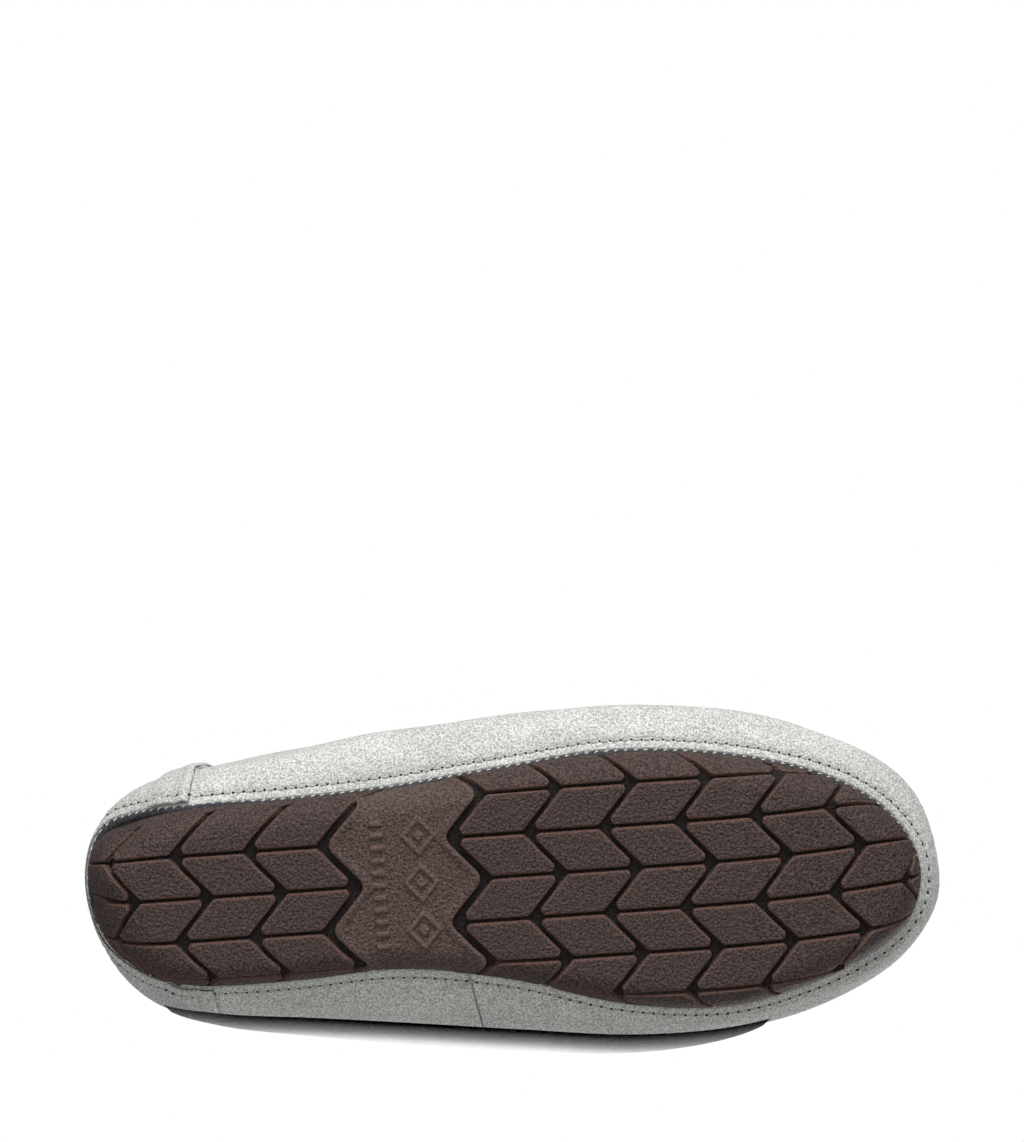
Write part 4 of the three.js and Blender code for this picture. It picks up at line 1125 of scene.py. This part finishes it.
def makeCuff():
    # the fluffy roll: the CAD section as a B-spline carried round the opening, lumps first, then the locks
    f = openingFrames()
    n = len(f)
    fine = 240
    i = np.arange(fine) / fine * n
    k, t = np.floor(i).astype(int), (i % 1)[:, None, None]
    a, b, c, d = f[(k - 1) % n], f[k % n], f[(k + 1) % n], f[(k + 2) % n]
    f = b + 0.5 * t * (c - a + t * (2 * a - 5 * b + 4 * c - d + t * (3 * (b - c) + d - a)))
    f[:, 1:] = unit(f[:, 1:])
    section = np.array([
        [3.4, -16.2], [5.4, -14.6], [6.9, -6.8], [5.6, 3.6], [0.6, 5.7], [-6.6, 5.0], [-9.2, 1.6], [3.0, 1.5],
        [3.0, -5],
    ])
    m = 40
    j = np.arange(m) / m * len(section)
    k, s = np.floor(j).astype(int), (j % 1)[:, None]
    q = len(section)
    p = section[k % q] * (1 - s) ** 3 / 6 + section[(k + 1) % q] * (3 * s ** 3 - 6 * s ** 2 + 4) / 6
    p = p + section[(k + 2) % q] * (-3 * s ** 3 + 3 * s ** 2 + 3 * s + 1) / 6
    p = p + section[(k + 3) % q] * s ** 3 / 6
    slim = smooth(-f[:, 0, 1], 0, 14) * (1 - smooth(f[:, 0, 0], 10, 40))
    out = p[None, :, 0] * np.where(p[None, :, 0] > 0, 1 - 0.66 * slim[:, None], 1)
    up = p[None, :, 1] * np.where(p[None, :, 1] < 0, 1 - 0.45 * slim[:, None], 1)
    grid = f[:, None, 0] + f[:, None, 1] * out[..., None] + f[:, None, 2] * up[..., None]
    d = np.roll(p, -1, 0) - np.roll(p, 1, 0)
    o = unit(np.stack([-d[:, 1], d[:, 0]], -1))
    o = np.where(((p - p.mean(0)) * o).sum(-1, keepdims=True).sum() < 0, -o, o)
    outs = unit(f[:, None, 1] * o[None, :, :1] + f[:, None, 2] * o[None, :, 1:])
    grid = grid + outs * (lumpy(grid, 11, woolSpec["lump"], 3) * (1 - 0.7 * slim[:, None]))[..., None]
    seen = (p[:, 0] > 3.2) | (p[:, 1] > 0.5)
    place, out = scatter(grid, outs, woolSpec["cuffLocks"] + 1500, 11, True, True)
    hidden = ((place[:, None] - grid[:, ~seen].reshape(-1, 3)[::7][None]) ** 2).sum(-1).min(1) < 4.0
    kept = np.random.default_rng(5).permutation(np.flatnonzero(~hidden))[:woolSpec["cuffLocks"]]
    kept = np.sort(kept)
    place, out = place[kept], out[kept]
    short = smooth(-place[:, 1], 8, 20) * (1 - smooth(place[:, 0], 10, 40))  # shorter pile on the outer side
    locks, lockQuads = curlyLocks(place - out * 0.35, out, 12, woolSpec["lockLength"] * (1 - 0.25 * short))
    quads = gridFaces(fine, m, True, True)
    piece = woolPiece("wool_cuff", grid.reshape(-1, 3), quads, locks, lockQuads, "collar_cuff")


def woolLayer(name, theta, v, depth, thickness, node, count, seed, apronLayer=False):
    # a fleece layer under the suede: pile towards the foot, flat backing outside, locks on the foot's side
    if apronLayer:
        place, out = apronFrame(theta, v)
    else:
        place, out, rise = upperFrame(theta, v)
    back = place - out * depth
    front = place - out * (depth + thickness - 1.0)
    front = front - out * lumpy(front, 10, 0.8, seed)[..., None]
    points, quads = sandwich(back, front)
    spots, normals = scatter(front, -out, count, seed + 1)
    locks, lockQuads = curlyLocks(spots - normals * 0.4, normals, seed + 2, 6.0)
    woolPiece(name, points, quads, locks, lockQuads, node)


def makeInsole():
    theta = np.linspace(0, turn, 240, endpoint=False)
    c, n = solePlan(theta), soleNormal(theta)
    share = heelShare(c[:, 0]) ** 0.2
    edge = c - n * (4 + 17.5 * share)[:, None]
    middle = np.column_stack([0.75 * c[:, 0], 0.036 * c[:, 0]])
    t = np.array([0, 0.02, 0.05, 0.1, 0.2, 0.35, 0.5, 0.65, 0.8, 0.92, 1])
    plan = edge[:, None] + (middle - edge)[:, None] * t[None, :, None]
    z = 15.6 + springAt(plan[..., 0])
    pile = 3.4 * np.sqrt(1 - (1 - np.clip(t / 0.1, 0, 1)) ** 2)
    top = np.concatenate([plan, (z + pile)[..., None]], -1)
    top[..., 2] += lumpy(top, 14, 0.5, 21) * (t > 0.1)
    bottom = np.concatenate([plan, z[..., None]], -1)
    rings = np.concatenate([top[:, ::-1], bottom[:, 1:]], 1)
    quads = gridFaces(len(theta), rings.shape[1], True)
    up = np.zeros_like(top)
    up[..., 2] = 1
    spots, normals = scatter(top, up, woolSpec["insoleLocks"], 22, True)
    locks, lockQuads = curlyLocks(spots - normals * 0.6, normals, 23, 5.0)
    piece = woolPiece("wool_insole", rings.reshape(-1, 3), quads, locks, lockQuads, "insole_wool")


makeCuff()
gapSweep = 0.005
heelToThroat = np.linspace(-throat + gapSweep, throat - gapSweep, 200)
roundTheToes = np.linspace(throat + gapSweep, turn - throat - gapSweep, 220)
woolLayer("wool_quarter_lining", heelToThroat, np.linspace(0.95, 3.98, 26), 4.8, 6.0, "quarter_lining",
          woolSpec["quarterLocks"], 31)
woolLayer("wool_vamp_lining", roundTheToes, np.linspace(0.6, 3.85, 26), 2.5, 6.0, "vamp_lining",
          woolSpec["vampLocks"], 41)
woolLayer("wool_apron_lining", np.linspace(throat + 0.01, math.pi - 0.36, 90), np.linspace(-0.69, 0.69, 40),
          2.5, 5.5, "apron_lining", woolSpec["apronLocks"], 51, True)
makeInsole()
print("wool made")

for name, material in {"midsole_foam": foam, "insole_cushion": foam, "heel_counter": fibreBoard}.items():
    wear(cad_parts[name], material)
